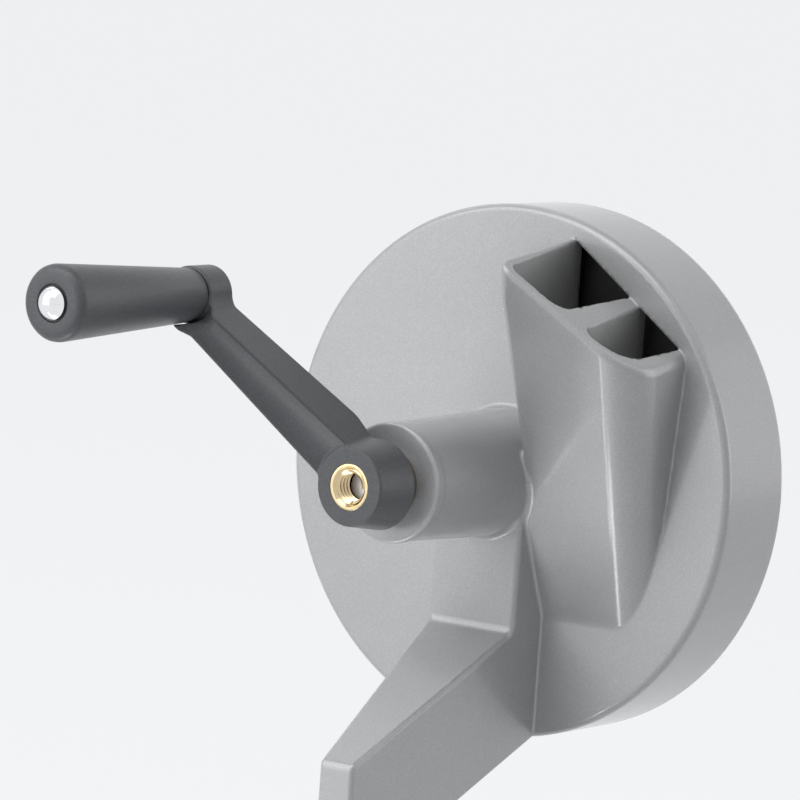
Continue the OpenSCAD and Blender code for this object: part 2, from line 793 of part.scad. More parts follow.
// Swivelling pressure plate, recessed for the washer that holds it
module pressure_plate() {
  color(steel_grey) translate([0, 0, -plate_bottom]) difference() {
    cylinder(d = plate_d, h = plate_t);
    translate([0, 0, -overrun]) cylinder(r = neck_d / 2 + spindle_play, h = plate_t + 2 * overrun);
    translate([0, 0, plate_web_t]) cylinder(r = plate_washer_d / 2 + axial_play, h = plate_t);
  }
}

// Soft pad stuck on the pressure plate
module plate_pad() {
  color(pad_black) translate([0, 0, -plate_top]) cylinder(d = plate_d, h = plate_pad_t);
}

// Washer riveted on the spindle's neck inside the pressure plate
module plate_washer() {
  color(steel_grey) translate([0, 0, -plate_washer_bottom])
    ring(plate_washer_d, neck_d, 0, plate_washer_t);
}

// Hole through the knob and the spindle for the cross pin
module knob_pin_hole() {
  translate([0, 0, -(knob_top + knob_bottom) / 2]) rotate([90, 0, 0])
    cylinder(d = knob_pin_d, h = knob_span, center = true);
}

// Plastic wing knob on the spindle's lower end
module clamp_knob() {
  wing_r = knob_h / 2;
  color(charcoal) difference() {
    union() {
      translate([0, 0, -knob_bottom]) cylinder(d = knob_hub_d, h = knob_h);
      for (side = [-1, 1]) {
        translate([side * (knob_span / 2 - wing_r), 0, -knob_bottom + wing_r]) rotate([90, 0, 0])
          cylinder(r = wing_r, h = knob_wing_t, center = true);
        translate([side * (knob_span / 2 - wing_r) / 2, 0, -knob_bottom + wing_r])
          cube([knob_span / 2 - wing_r, knob_wing_t, knob_h - 2 * overrun], center = true);
      }
    }
    translate([0, 0, -knob_bottom - overrun]) cylinder(d = spindle_d, h = knob_h + 2 * overrun);
    knob_pin_hole();
  }
}

module knob_pin() {
  color(steel_grey) translate([0, 0, -(knob_top + knob_bottom) / 2]) rotate([90, 0, 0])
    cylinder(d = knob_pin_d, h = knob_hub_d - overrun, center = true);
}

housing();
front_bushing();
rear_bushing();
drive_shaft();
front_washer();
rear_washer();
knife_disc();
knife_1();
knife_2();
knife_3();
knife_screws();
disc_washer();
spring_washer();
disc_nut();
crank_arm();
crank_insert();
crank_grip();
grip_pin();
clamp_spindle();
pressure_plate();
plate_pad();
plate_washer();
clamp_knob();
knob_pin();
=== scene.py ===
import math
import bpy
import bmesh
import numpy as np
from mathutils import Matrix, Vector


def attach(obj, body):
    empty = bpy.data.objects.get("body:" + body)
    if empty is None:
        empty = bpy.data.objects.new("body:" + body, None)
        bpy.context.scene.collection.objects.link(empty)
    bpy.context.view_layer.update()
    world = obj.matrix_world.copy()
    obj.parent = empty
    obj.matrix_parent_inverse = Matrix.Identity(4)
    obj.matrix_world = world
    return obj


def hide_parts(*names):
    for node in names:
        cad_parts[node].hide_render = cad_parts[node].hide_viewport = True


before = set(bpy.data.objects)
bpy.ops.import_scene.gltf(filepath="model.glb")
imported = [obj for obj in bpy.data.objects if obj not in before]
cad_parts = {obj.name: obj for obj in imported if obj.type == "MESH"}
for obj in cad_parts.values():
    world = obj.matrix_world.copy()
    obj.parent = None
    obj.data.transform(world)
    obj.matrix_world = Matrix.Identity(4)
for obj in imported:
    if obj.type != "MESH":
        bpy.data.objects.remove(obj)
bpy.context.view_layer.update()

# Casting
# The body of the slicer is one aluminium die casting: drum, bearing tube, feed chute, leg and clamp
# frame in one piece, with small fillets everywhere. It has a satin silver lacquer, and its seats for
# the bushes and the spindle are drilled afterwards.
MM = 0.001              # sizes are in millimetres, and Blender's in metres
AXIS_HEIGHT, FACE_Y = 115.0, 30.0
DRUM_R, DRUM_DEPTH, FACE_WALL, RIM_WALL, RIM_DRAFT = 80.0, 30.0, 4.0, 3.5, 0.012
RIM_EDGE, BACK_EDGE, HOLLOW_CORNER = 2.2, 1.0, 2.0
TUBE_LEN, TUBE_ROOT_R, TUBE_FRONT_R, TUBE_BORE_R = 58.2, 19.2, 17.4, 9.0
COLLAR_R, COLLAR_LEN, TUBE_EDGE = 17.85, 4.0, 0.8
COLUMN_FRONT, COLUMN_BACK, COLUMN_HALF_W, ROOT_HALF_W = -44.0, -16.0, 6.0, 17.3
STRUT_FRONT, STRUT_FOOT, ARM_UNDER_S, ARM_UNDER_H = 12.0, -46.0, 6.0, -82.04
ARM_DROP = math.radians(30)
LEG_EDGE, LEG_SIDE_EDGE, JAW_EDGE, FOOT_EDGE, JAW_CORNER = 1.5, 1.3, 1.2, 1.0, 2.0
JAW_TOP, LOWER_JAW_TOP, LOWER_JAW_BOTTOM, NOSE_R, NOSE_LEN = 12.0, -55.3, -73.3, 14.0, 6.0
SPINDLE_BORE_R, SPINDLE_BORE_TOP = 5.05, -30.0
CHUTE_X, CHUTE_RIGHT, CHUTE_FOOT, MOUTH_HEIGHT = 17.3, 55.7, 41.3, 73.0
CHUTE_TILT, FLARE, MOUTH_SLOPE, MOUTH_TILT = (math.radians(a) for a in (19.4, 4.6, 34.65, 8.5))
CHUTE_CORNER, CHUTE_EDGE, MOUTH_EDGE, MOUTH_INNER_EDGE = 12.0, 2.6, 2.1, 0.5
MOUTH_EXTRA_EDGE, MOUTH_REACH, CHUTE_TUCK = 2.4, 9.0, 7.0
LEFT_WALL, FRONT_WALL, PARTITION = 2.0, 2.8, (40.14, 43.54)
CHANNEL_CORNER, LEFT_CORNER, RIGHT_CORNER = 3.4, 4.5, 9.0
LEFT_TAPER, RIGHT_TAPER = math.radians(1.5), math.radians(4.5)
CHUTE_FILLET, LEG_FILLET, TUBE_FILLET, COLLAR_FILLET = 0.8, 0.4, 1.6, 0.3
HOLLOW_EDGE, WINDOW_EDGE = 0.8, 0.4
WEDGE_COS = 0.9886      # cosine of the lean of the leg's sides
INTO_FACE, LEG_INTO_FACE = 2.0, 2.5     # how far a part runs into the wall that it grows from
MOST_MOVE, STIFFNESS, LEAST_SLOPE, LAYERS = 0.2, 0.03, 0.3, 8       # how a skin is drawn on its grid
SHARP = 0.1             # an edge that is hidden in another part


def blend_in(a, b, r):
    """Joins two shapes with a cast fillet of radius r."""
    return np.maximum(r, np.minimum(a, b)) - np.hypot(np.maximum(r - a, 0), np.maximum(r - b, 0))


def trim(a, b, r):
    """Keeps what two shapes share, with an edge of radius r."""
    return np.minimum(-r, np.maximum(a, b)) + np.hypot(np.maximum(a + r, 0), np.maximum(b + r, 0))


def between(place, low, high):
    """How far a place lies outside a slab."""
    return np.abs(place - (low + high) / 2) - (high - low) / 2


def slope(depth_at, p, step=0.01):
    """How fast the depth changes at each point, in each direction."""
    rate = np.empty(p.shape)
    for i in range(3):
        shift = np.zeros(3)
        shift[i] = step
        rate[:, i] = (depth_at(*(p + shift).T) - depth_at(*(p - shift).T)) / (2 * step)
    return rate


def unit(vectors):
    return vectors / np.maximum(np.linalg.norm(vectors, axis=1), 1e-6)[:, None]


def settled(depth_at, p, most):
    """Moves points that lie near the surface onto it, by a little at a time."""
    for _ in range(3):
        rate = slope(depth_at, p)
        move = (depth_at(*p.T) / np.maximum((rate * rate).sum(1), LEAST_SLOPE))[:, None] * rate
        p = p - np.clip(move, -most, most)
    return p


def crossing(depth_at, start, step, here, there):
    """Where grid lines meet the surface, by false position between their two ends."""
    t = here / (here - there)
    for _ in range(3):
        middle = depth_at(*(start + t[:, None] * step).T)
        same = (middle < 0) == (here < 0)
        near_t, near = np.where(same, t, 0 * t), np.where(same, middle, here)
        far_t, far = np.where(same, 1 + 0 * t, t), np.where(same, there, middle)
        t = near_t + (far_t - near_t) * near / (near - far)
    return start + t[:, None] * step


def skin(depth_at, low, high, cell):
    """Corner points and quads of the surface. Each point is where the tangent planes round it meet, so
    edges stay crisp."""
    low = np.array(low, float)
    count = np.ceil((np.array(high, float) - low) / cell).astype(int) + 1
    xs, ys, zs = (low[i] + cell * np.arange(count[i]) for i in range(3))
    depth = np.empty(count, np.float32)
    for k in range(0, count[2], LAYERS):
        layers = slice(k, k + LAYERS)
        depth[:, :, layers] = depth_at(xs[:, None, None], ys[None, :, None], zs[None, None, layers])
    # The cells that the surface runs through have some of their eight corners inside
    inside = depth < 0
    near = np.zeros(count - 1, np.uint8)
    for i in (0, 1):
        for j in (0, 1):
            for k in (0, 1):
                near += inside[i:count[0] - 1 + i, j:count[1] - 1 + j, k:count[2] - 1 + k]
    active = (near > 0) & (near < 8)
    number = np.full(active.shape, -1, np.int64)
    number[active] = np.arange(active.sum())
    total = int(active.sum())
    # One quad for each grid line that meets the surface, and the tangent plane there for its four cells
    quads, hits = [], np.zeros(total)
    spots, planes, pulls = np.zeros((3, total)), np.zeros((9, total)), np.zeros((3, total))
    for axis in range(3):
        u, v = (axis + 1) % 3, (axis + 2) % 3
        along = np.eye(3, dtype=int)[axis]
        below = np.take(inside, range(count[axis] - 1), axis)
        change = below != np.take(inside, range(1, count[axis]), axis)
        for side in (u, v):
            edge = [slice(None)] * 3
            for end in (0, -1):
                edge[side] = end
                change[tuple(edge)] = False
        at = np.argwhere(change)
        here, there = (depth[tuple(p.T)].astype(float) for p in (at, at + along))
        hit = crossing(depth_at, low + at * cell, along * cell, here, there)
        n = unit(slope(depth_at, hit))
        ring = []
        for du, dv in ((-1, -1), (0, -1), (0, 0), (-1, 0)):
            off = np.zeros(3, int)
            off[u], off[v] = du, dv
            ring.append(number[tuple((at + off).T)])
            hits += np.bincount(ring[-1], minlength=total)
            pull = (n * hit).sum(1)
            for i in range(3):
                spots[i] += np.bincount(ring[-1], hit[:, i], total)
                pulls[i] += np.bincount(ring[-1], n[:, i] * pull, total)
                for j in range(3):
                    planes[3 * i + j] += np.bincount(ring[-1], n[:, i] * n[:, j], total)
        ring = np.stack(ring, 1)
        back = ~below[tuple(at.T)]
        ring[back] = ring[back][:, ::-1]
        quads.append(ring)
    # Each cell's point, drawn from the middle of its hits to where their planes meet
    middle = (spots / hits).T
    square = planes.T.reshape(-1, 3, 3)
    pull = pulls.T - np.einsum("nij,nj->ni", square, middle)
    points = middle + np.linalg.solve(square + STIFFNESS * np.eye(3), pull[:, :, None])[:, :, 0]
    corner = low + np.argwhere(active) * cell
    points = np.clip(points, corner, corner + cell)
    astray = np.abs(depth_at(*points.T)) > MOST_MOVE * cell
    points[astray] = middle[astray]
    return settled(depth_at, points, MOST_MOVE * cell), np.concatenate(quads)


def moulded(name, depth_at, low, high, cell, most_faces):
    """A cast or moulded piece, from a function that says how far outside it a point lies. Flat parts
    are thinned, and the shading follows the true surface."""
    points, quads = skin(depth_at, low, high, cell)
    mesh = bpy.data.meshes.new(name)
    mesh.vertices.add(len(points))
    mesh.vertices.foreach_set("co", (points * MM).ravel())
    mesh.loops.add(quads.size)
    mesh.loops.foreach_set("vertex_index", quads.ravel())
    mesh.polygons.add(len(quads))
    mesh.polygons.foreach_set("loop_start", np.arange(0, quads.size, 4))
    mesh.update(calc_edges=True)
    mesh.validate()
    piece = bpy.data.objects.new(name, mesh)
    bpy.context.scene.collection.objects.link(piece)
    if 2 * len(quads) > most_faces:
        thin = piece.modifiers.new("thin", "DECIMATE")
        thin.ratio = most_faces / (2 * len(quads))
        seen = piece.evaluated_get(bpy.context.evaluated_depsgraph_get())
        piece.data = bpy.data.meshes.new_from_object(seen)
        piece.modifiers.clear()
        piece.data.name = name
        bpy.data.meshes.remove(mesh)
    mesh = piece.data
    co, of_corner = np.empty(len(mesh.vertices) * 3), np.empty(len(mesh.loops), np.int32)
    middles, sides = np.empty(len(mesh.polygons) * 3), np.empty(len(mesh.polygons), np.int32)
    mesh.vertices.foreach_get("co", co)
    co = settled(depth_at, co.reshape(-1, 3) / MM, MOST_MOVE * cell) * MM
    mesh.vertices.foreach_set("co", co.ravel())
    mesh.loops.foreach_get("vertex_index", of_corner)
    mesh.polygons.foreach_get("center", middles)
    mesh.polygons.foreach_get("loop_total", sides)
    # Normals are read a little inside each face, so that an edge keeps both its sides
    corners = co[of_corner] / MM
    corners += 0.1 * (np.repeat(middles.reshape(-1, 3), sides, axis=0) / MM - corners)
    mesh.shade_smooth()
    mesh.normals_split_custom_set(unit(slope(depth_at, corners, 0.03)).tolist())
    return piece


# In the outlines below, s is how far a point lies in front of the drum's face, h how far above the
# drum's axis, and rho how far from that axis.
def leg_depth(x, y, z):
    """The leg and the clamp's two jaws, from their side outline and their wedge in plan."""
    h, s = z - AXIS_HEIGHT, FACE_Y - y
    rise, run = math.sin(ARM_DROP), math.cos(ARM_DROP)
    over = (h - STRUT_FOOT) * run + (s - STRUT_FRONT) * rise
    front = trim(blend_in(s - STRUT_FRONT, over, LEG_EDGE), s - (FACE_Y - COLUMN_FRONT), LEG_EDGE)
    under = (h - ARM_UNDER_H) * run + (s - ARM_UNDER_S) * rise
    outline = trim(np.maximum(front, h), np.minimum(-under, FACE_Y - COLUMN_BACK - s), LEG_EDGE)
    narrowing = (ROOT_HALF_W - COLUMN_HALF_W) / (FACE_Y - COLUMN_FRONT)
    wedge = (np.abs(x) - ROOT_HALF_W + narrowing * s) * WEDGE_COS
    leg = trim(trim(outline, wedge, LEG_SIDE_EDGE), -LEG_INTO_FACE - s, SHARP)
    nose = np.hypot(x, y) - NOSE_R
    jaw = np.minimum(np.maximum(np.maximum(wedge, y), COLUMN_FRONT + NOSE_LEN - y), nose)
    upper = trim(jaw, between(z, 0.0, JAW_TOP), JAW_EDGE)
    lower = trim(jaw, between(z, LOWER_JAW_BOTTOM, LOWER_JAW_TOP), JAW_EDGE)
    leg = np.maximum(blend_in(leg, np.minimum(upper, lower), JAW_CORNER), np.minimum(wedge, nose))
    return trim(leg, LOWER_JAW_BOTTOM - z, FOOT_EDGE)


def channel_depth(x, along, square, left, right, lean, right_corner):
    """One of the chute's two channels, tapered towards the front wall."""
    back = (MOUTH_HEIGHT + CHUTE_FOOT) * math.sin(CHUTE_TILT) - square
    left_side = (left + back * math.tan(LEFT_TAPER)) - x
    right_side = x - right + back * math.tan(RIGHT_TAPER) - along * math.tan(lean)
    return trim(trim(FRONT_WALL - square, left_side, CHANNEL_CORNER), right_side, right_corner)


def chute_depth(x, y, z):
    """The chute, in the frame of its leaning front wall, and what its channels and mouth leave open."""
    h, s = z - AXIS_HEIGHT, FACE_Y - y
    up = h + CHUTE_FOOT
    square = -s * math.cos(CHUTE_TILT) + up * math.sin(CHUTE_TILT)
    along = s * math.sin(CHUTE_TILT) + up * math.cos(CHUTE_TILT)
    flare = (x - CHUTE_RIGHT) * math.cos(FLARE) - along * math.sin(FLARE)
    left_side = np.where(h > 0, CHUTE_X, ROOT_HALF_W - CHUTE_TUCK) - x
    mouth = ((x - CHUTE_X) * math.sin(MOUTH_SLOPE) + math.cos(MOUTH_SLOPE)
             * (s * math.sin(MOUTH_TILT) + (h - MOUTH_HEIGHT) * math.cos(MOUTH_TILT)))
    left_edge = CHUTE_EDGE + MOUTH_EXTRA_EDGE * np.clip((mouth + MOUTH_REACH) / MOUTH_REACH, 0, 1)
    column = trim(trim(-square, flare, CHUTE_CORNER), left_side, left_edge)
    left = channel_depth(x, along, square, CHUTE_X + LEFT_WALL, PARTITION[0], 0.0, LEFT_CORNER)
    right = channel_depth(x, along, square, PARTITION[1], CHUTE_RIGHT - FRONT_WALL, FLARE, RIGHT_CORNER)
    channels = np.minimum(left, right)
    chute = trim(trim(column, mouth, MOUTH_EDGE), -INTO_FACE - s, SHARP)
    chute = trim(chute, -np.maximum(channels, -up), MOUTH_INNER_EDGE)
    return chute, np.maximum(channels, mouth)


def casting_depth(x, y, z):
    h, s = z - AXIS_HEIGHT, FACE_Y - y
    rho = np.hypot(x, h)
    side = rho - (DRUM_R - RIM_DRAFT * np.maximum(-s, 0))
    drum = trim(trim(side, s + 0 * x, RIM_EDGE), -DRUM_DEPTH - s, BACK_EDGE)
    tube = trim(rho - (TUBE_ROOT_R - (TUBE_ROOT_R - TUBE_FRONT_R) * s / TUBE_LEN), s - TUBE_LEN, TUBE_EDGE)
    collar = trim(rho - COLLAR_R, between(s, TUBE_LEN - COLLAR_LEN, TUBE_LEN), TUBE_EDGE)
    tube = np.maximum(blend_in(tube, collar, COLLAR_FILLET), -INTO_FACE - s)
    chute, opening = chute_depth(x, y, z)
    body = blend_in(drum, blend_in(leg_depth(x, y, z), chute, CHUTE_FILLET), LEG_FILLET)
    body = blend_in(body, tube, TUBE_FILLET)
    # What is open: the drum's back, the windows in its face, and the drilled seats
    hollow = trim(rho - DRUM_R + RIM_WALL, s + FACE_WALL, HOLLOW_CORNER)
    body = trim(body, -hollow, HOLLOW_EDGE)
    windows = np.maximum(opening, np.abs(s + FACE_WALL / 2) - FACE_WALL)
    body = trim(body, -windows, WINDOW_EDGE)
    body = np.maximum(body, TUBE_BORE_R - rho)
    spindle_bore = np.maximum(np.hypot(x, y) - SPINDLE_BORE_R, z - SPINDLE_BORE_TOP)
    return np.maximum(body, -spindle_bore)


casting = moulded("casting", casting_depth, (-82, -46, -75), (82, 62, 197),
                  cell=0.8, most_faces=190000)


def node_group(name, inputs, outputs):
    """An empty shader group with named sockets."""
    tree = bpy.data.node_groups.new(name, "ShaderNodeTree")
    for label, kind, value in inputs:
        socket = tree.interface.new_socket(label, in_out="INPUT", socket_type="NodeSocket" + kind)
        socket.default_value = value
    for label, kind in outputs:
        tree.interface.new_socket(label, in_out="OUTPUT", socket_type="NodeSocket" + kind)
    return tree, tree.nodes.new("NodeGroupInput").outputs, tree.nodes.new("NodeGroupOutput")


def wire(tree, node, **sockets):
    """Sets a node's inputs to values or to other nodes' outputs. They go by name, or by number as i0."""
    for label, value in sockets.items():
        by_number = label[0] == "i" and label[1:].isdigit()
        socket = node.inputs[int(label[1:]) if by_number else label.replace("_", " ")]
        if isinstance(value, bpy.types.NodeSocket):
            tree.links.new(value, socket)
        else:
            socket.default_value = value
    return node


def add(tree, kind, **sockets):
    """A new node, with its inputs set or linked."""
    return wire(tree, tree.nodes.new(kind), **sockets)


def maths(tree, operation, *values):
    node = tree.nodes.new("ShaderNodeMath")
    node.operation = operation
    return wire(tree, node, **{"i%d" % i: value for i, value in enumerate(values)}).outputs[0]


def vector_maths(tree, operation, **sockets):
    node = tree.nodes.new("ShaderNodeVectorMath")
    node.operation = operation
    wire(tree, node, **sockets)
    return node.outputs["Value" if operation in ("LENGTH", "DOT_PRODUCT") else "Vector"]


SURFACE = [("Colour", "Color"), ("Roughness", "Float"), ("Normal", "Vector")]


def put_out(tree, last, colour, roughness, grain, depth, reach):
    """Ends a finish: its colour and roughness, and the bump that its grain makes."""
    bump = add(tree, "ShaderNodeBump", Strength=depth, Distance=reach, Height=grain)
    wire(tree, last, Colour=colour, Roughness=roughness, Normal=bump.outputs[0])


# Fine grain of lacquer and moulded plastic: a soft orange peel, small specks, and slow patches of tone
fine_grain, given, last = node_group(
    "fine grain",
    [("Colour", "Color", (0.5, 0.5, 0.5, 1)), ("Speck", "Color", (0.7, 0.7, 0.7, 1)),
     ("Speck amount", "Float", 0.3), ("Grain per mm", "Float", 3.0), ("Depth", "Float", 0.1),
     ("Roughness", "Float", 0.4), ("Patches", "Float", 0.05)], SURFACE)
t = fine_grain
where = t.nodes.new("ShaderNodeTexCoord").outputs["Object"]
per_metre = maths(t, "MULTIPLY", given["Grain per mm"], 1000.0)
peel = add(t, "ShaderNodeTexNoise", Vector=where, Scale=per_metre, Detail=3.0, Roughness=0.6).outputs[0]
specks = add(t, "ShaderNodeTexVoronoi", Vector=where, Scale=maths(t, "MULTIPLY", per_metre, 1.7))
bright = add(t, "ShaderNodeSeparateColor", Color=specks.outputs["Color"]).outputs[0]
pick = maths(t, "MULTIPLY", maths(t, "POWER", bright, 3.0), given["Speck amount"])
slow = add(t, "ShaderNodeTexNoise", Vector=where, Scale=45.0, Detail=2.0).outputs[0]
tone = maths(t, "MULTIPLY_ADD", maths(t, "SUBTRACT", slow, 0.5), given["Patches"], 1.0)
mix = t.nodes.new("ShaderNodeMix")
mix.data_type = "RGBA"
wire(t, mix, i0=pick, i6=given["Colour"], i7=given["Speck"])
uneven = maths(t, "MULTIPLY", maths(t, "SUBTRACT", peel, 0.5), 0.18)
put_out(t, last, vector_maths(t, "SCALE", i0=mix.outputs[2], Scale=tone),
        maths(t, "ADD", given["Roughness"], uneven), peel, given["Depth"], 0.0002)


def finish(name, group, colour, values, shader):
    """A material that takes its colour, roughness and normal from a group. Shader holds what is the
    same all over."""
    m = bpy.data.materials.new(name)
    m.use_nodes = True
    tree = m.node_tree
    marks = tree.nodes.new("ShaderNodeGroup")
    marks.node_tree = group
    wire(tree, marks, Colour=(*colour, 1), **values)
    wire(tree, tree.nodes["Principled BSDF"], Base_Color=marks.outputs["Colour"],
         Roughness=marks.outputs["Roughness"], Normal=marks.outputs["Normal"], **shader)
    m.diffuse_color = (*colour, 1)
    return m


def grained(name, colour, speck, amount, per_mm, depth, roughness, patches, **shader):
    """A lacquered or moulded finish. Amount is how much the specks show, and patches how much the tone
    varies from place to place."""
    return finish(name, fine_grain, colour, dict(
        Speck=(*speck, 1), Speck_amount=amount, Grain_per_mm=per_mm, Depth=depth, Roughness=roughness,
        Patches=patches), shader)


def fit(piece, material, node, body):
    """Gives a piece its finish, and says which solid it stands for and what it moves with."""
    piece.data.materials.clear()
    piece.data.materials.append(material)
    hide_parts(node)
    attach(piece, body)


silver_lacquer = grained(
    "silver lacquer", (0.42, 0.425, 0.43), speck=(0.80, 0.80, 0.80), amount=0.35, per_mm=3.2, depth=0.10,
    roughness=0.42, patches=0.10, Metallic=0.15, Coat_Weight=0.9, Coat_Roughness=0.13)
fit(casting, silver_lacquer, "housing", "frame")

# Bushes
# Two flanged bronze bushes, pressed into the ends of the bearing tube. They are turned parts with
# broken edges.
BUSH_R, BUSH_BORE_R, FLANGE_R, FLANGE_T, BUSH_LEN = 8.98, 6.05, 10.25, 1.8, 15.0
BROKEN_EDGE, FINE_EDGE = 0.4, 0.2
ARC_STEPS = 4


def filleted(points, radii):
    """A closed outline with a small arc at each corner."""
    out = []
    for i, r in enumerate(radii):
        p, a, b = (np.array(points[j % len(points)], float) for j in (i, i - 1, i + 1))
        if r <= 0:
            out.append(p)
            continue
        to_a, to_b = np.linalg.norm(a - p), np.linalg.norm(b - p)
        u, v = (a - p) / to_a, (b - p) / to_b
        angle = math.acos(max(-1, min(1, float(u @ v))))
        r = min(r, 0.49 * min(to_a, to_b) * math.tan(angle / 2))
        reach = r / math.tan(angle / 2)
        centre = p + (u + v) / np.linalg.norm(u + v) * r / math.sin(angle / 2)
        start, stop = p + u * reach - centre, p + v * reach - centre
        turn = math.atan2(start[0] * stop[1] - start[1] * stop[0], float(start @ stop))
        for k in range(ARC_STEPS + 1):
            c, w = math.cos(turn * k / ARC_STEPS), math.sin(turn * k / ARC_STEPS)
            out.append(centre + (start[0] * c - start[1] * w, start[0] * w + start[1] * c))
    return out


def join_rings(mesh, rings, closed=False):
    """Faces between neighbouring rings of points. A ring of one point closes an end."""
    steps = max(len(ring) for ring in rings)
    for a, b in zip(rings, rings[1:] + (rings[:1] if closed else [])):
        if len(a) == len(b) == 1:
            continue
        for k in range(steps):
            quad = [a[k % len(a)], a[(k + 1) % len(a)], b[(k + 1) % len(b)], b[k % len(b)]]
            mesh.faces.new(list(dict.fromkeys(quad)))
    bmesh.ops.recalc_face_normals(mesh, faces=mesh.faces)


def finished(name, mesh, angle=30):
    """A bmesh as a piece, smooth but for its sharp edges."""
    data = bpy.data.meshes.new(name)
    mesh.to_mesh(data)
    mesh.free()
    data.shade_smooth()
    data.set_sharp_from_angle(angle=math.radians(angle))
    piece = bpy.data.objects.new(name, data)
    bpy.context.scene.collection.objects.link(piece)
    return piece


def turned(name, points, radii, way="back", centre=(0.0, 0.0), steps=96):
    """Turns an outline of (radius, place) about an axis. Back and forward run along the drum's axis
    from its face; up runs along Z from the table top."""
    outline = filleted(points, radii)
    mesh = bmesh.new()
    rings = []
    for r, at in outline:
        ring = []
        for k in range(1 if r < 1e-6 else steps):
            across, up = (r * f(2 * math.pi * k / steps) for f in (math.cos, math.sin))
            if way == "up":
                p = (centre[0] + across, centre[1] + up, at)
            else:
                back = at if way == "back" else -at
                p = (centre[0] + across, FACE_Y + back, AXIS_HEIGHT + centre[1] + up)
            ring.append(mesh.verts.new(Vector(p) * MM))
        rings.append(ring)
    join_rings(mesh, rings, closed=min(outline[0][0], outline[-1][0]) > 1e-6)
    return finished(name, mesh)


def bush(name, start, way):
    """Sleeve inside the tube, flange against its end."""
    return turned(name, [
        (BUSH_BORE_R, start - BUSH_LEN), (BUSH_R, start - BUSH_LEN), (BUSH_R, start), (FLANGE_R, start),
        (FLANGE_R, start + FLANGE_T), (BUSH_BORE_R, start + FLANGE_T)],
        [BROKEN_EDGE, BROKEN_EDGE, 0, FINE_EDGE, BROKEN_EDGE, BROKEN_EDGE], way)


# Turned metal: fine rings round an axis, slight tone changes between them
turned_marks, given, last = node_group(
    "turned marks",
    [("Colour", "Color", (0.6, 0.6, 0.6, 1)), ("Centre", "Vector", (0, 0, 0)),
     ("Across", "Vector", (1, 0, 1)), ("Rings per mm", "Float", 4.0), ("Depth", "Float", 0.1),
     ("Roughness", "Float", 0.3)], SURFACE)
t = turned_marks
where = t.nodes.new("ShaderNodeTexCoord").outputs["Object"]
off_axis = vector_maths(t, "SUBTRACT", i0=where, i1=given["Centre"])
sideways = vector_maths(t, "MULTIPLY", i0=off_axis, i1=given["Across"])
across = vector_maths(t, "LENGTH", i0=sideways)
axis = vector_maths(t, "SUBTRACT", i0=(1, 1, 1), i1=given["Across"])
along = vector_maths(t, "DOT_PRODUCT", i0=off_axis, i1=axis)
track = add(t, "ShaderNodeCombineXYZ", X=maths(t, "MULTIPLY", across, 1000.0),
            Y=maths(t, "MULTIPLY", along, 1000.0))
rings = add(t, "ShaderNodeTexNoise", Vector=track.outputs[0], Scale=given["Rings per mm"], Detail=2.0,
            Roughness=0.5).outputs[0]
haze = add(t, "ShaderNodeTexNoise", Vector=where, Scale=400.0, Detail=2.0).outputs[0]
tone = maths(t, "MULTIPLY_ADD", maths(t, "SUBTRACT", rings, 0.5), 0.35, 1.0)
uneven = maths(t, "MULTIPLY", maths(t, "SUBTRACT", haze, 0.5), 0.25)
put_out(t, last, vector_maths(t, "SCALE", i0=given["Colour"], Scale=tone),
        maths(t, "ADD", given["Roughness"], uneven), rings, given["Depth"], 0.0001)
DRUM_CENTRE = (0, FACE_Y * MM, AXIS_HEIGHT * MM)


def metal(name, colour, roughness, depth=0.1, per_mm=4.0, centre=DRUM_CENTRE, across=(1, 0, 1)):
    """A turned or drawn metal; across marks the directions square to its axis."""
    return finish(name, turned_marks, colour, dict(
        Centre=centre, Across=across, Rings_per_mm=per_mm, Depth=depth, Roughness=roughness),
        dict(Metallic=1.0))


bronze = metal("sintered bronze", (0.27, 0.235, 0.20), roughness=0.45)
fit(bush("front_bush", TUBE_LEN, "forward"), bronze, "front_bushing", "frame")
fit(bush("rear_bush", FACE_WALL, "back"), bronze, "rear_bushing", "frame")

# Drive shaft
# A turned steel shaft: M10 thread at the front for the crank, a ground length in the bushes, two flats
# that drive the knife disc, and an M8 thread at the back for its nut.
CRANK_BACK, CRANK_FRONT, SHAFT_RECESS = 63.3, 77.5, 6.5
DISC_FRONT, DISC_HUB_BACK, SHAFT_BACK = 6.945, 17.945, 28.045
SHAFT_R, FRONT_THREAD_R, REAR_THREAD_R, FLAT, DISC_PLAY = 6.0, 4.95, 4.0, 4.75, 0.05
FRONT_ROOT_R, REAR_ROOT_R = FRONT_THREAD_R - 0.6, REAR_THREAD_R - 0.5
FRONT_PITCH, REAR_PITCH, FRONT_RIDGE, REAR_RIDGE = 1.5, 1.25, 0.5, 0.45
THREAD_LEAD, CREST_SHARE, THREAD_STEPS = 0.7, 0.34, 40


def geometry_group(name, inputs):
    """An empty geometry tree with named inputs."""
    tree = bpy.data.node_groups.new(name, "GeometryNodeTree")
    tree.interface.new_socket("Geometry", in_out="INPUT", socket_type="NodeSocketGeometry")
    for label, kind in inputs:
        tree.interface.new_socket(label, in_out="INPUT", socket_type="NodeSocket" + kind)
    tree.interface.new_socket("Geometry", in_out="OUTPUT", socket_type="NodeSocketGeometry")
    return tree, tree.nodes.new("NodeGroupInput").outputs, tree.nodes.new("NodeGroupOutput")


def put_out_real(tree, last, shape, material):
    """Ends a geometry tree: real faces in one material."""
    real = add(tree, "GeometryNodeRealizeInstances", Geometry=shape)
    coated = add(tree, "GeometryNodeSetMaterial", Geometry=real.outputs[0], Material=material)
    wire(tree, last, Geometry=coated.outputs[0])


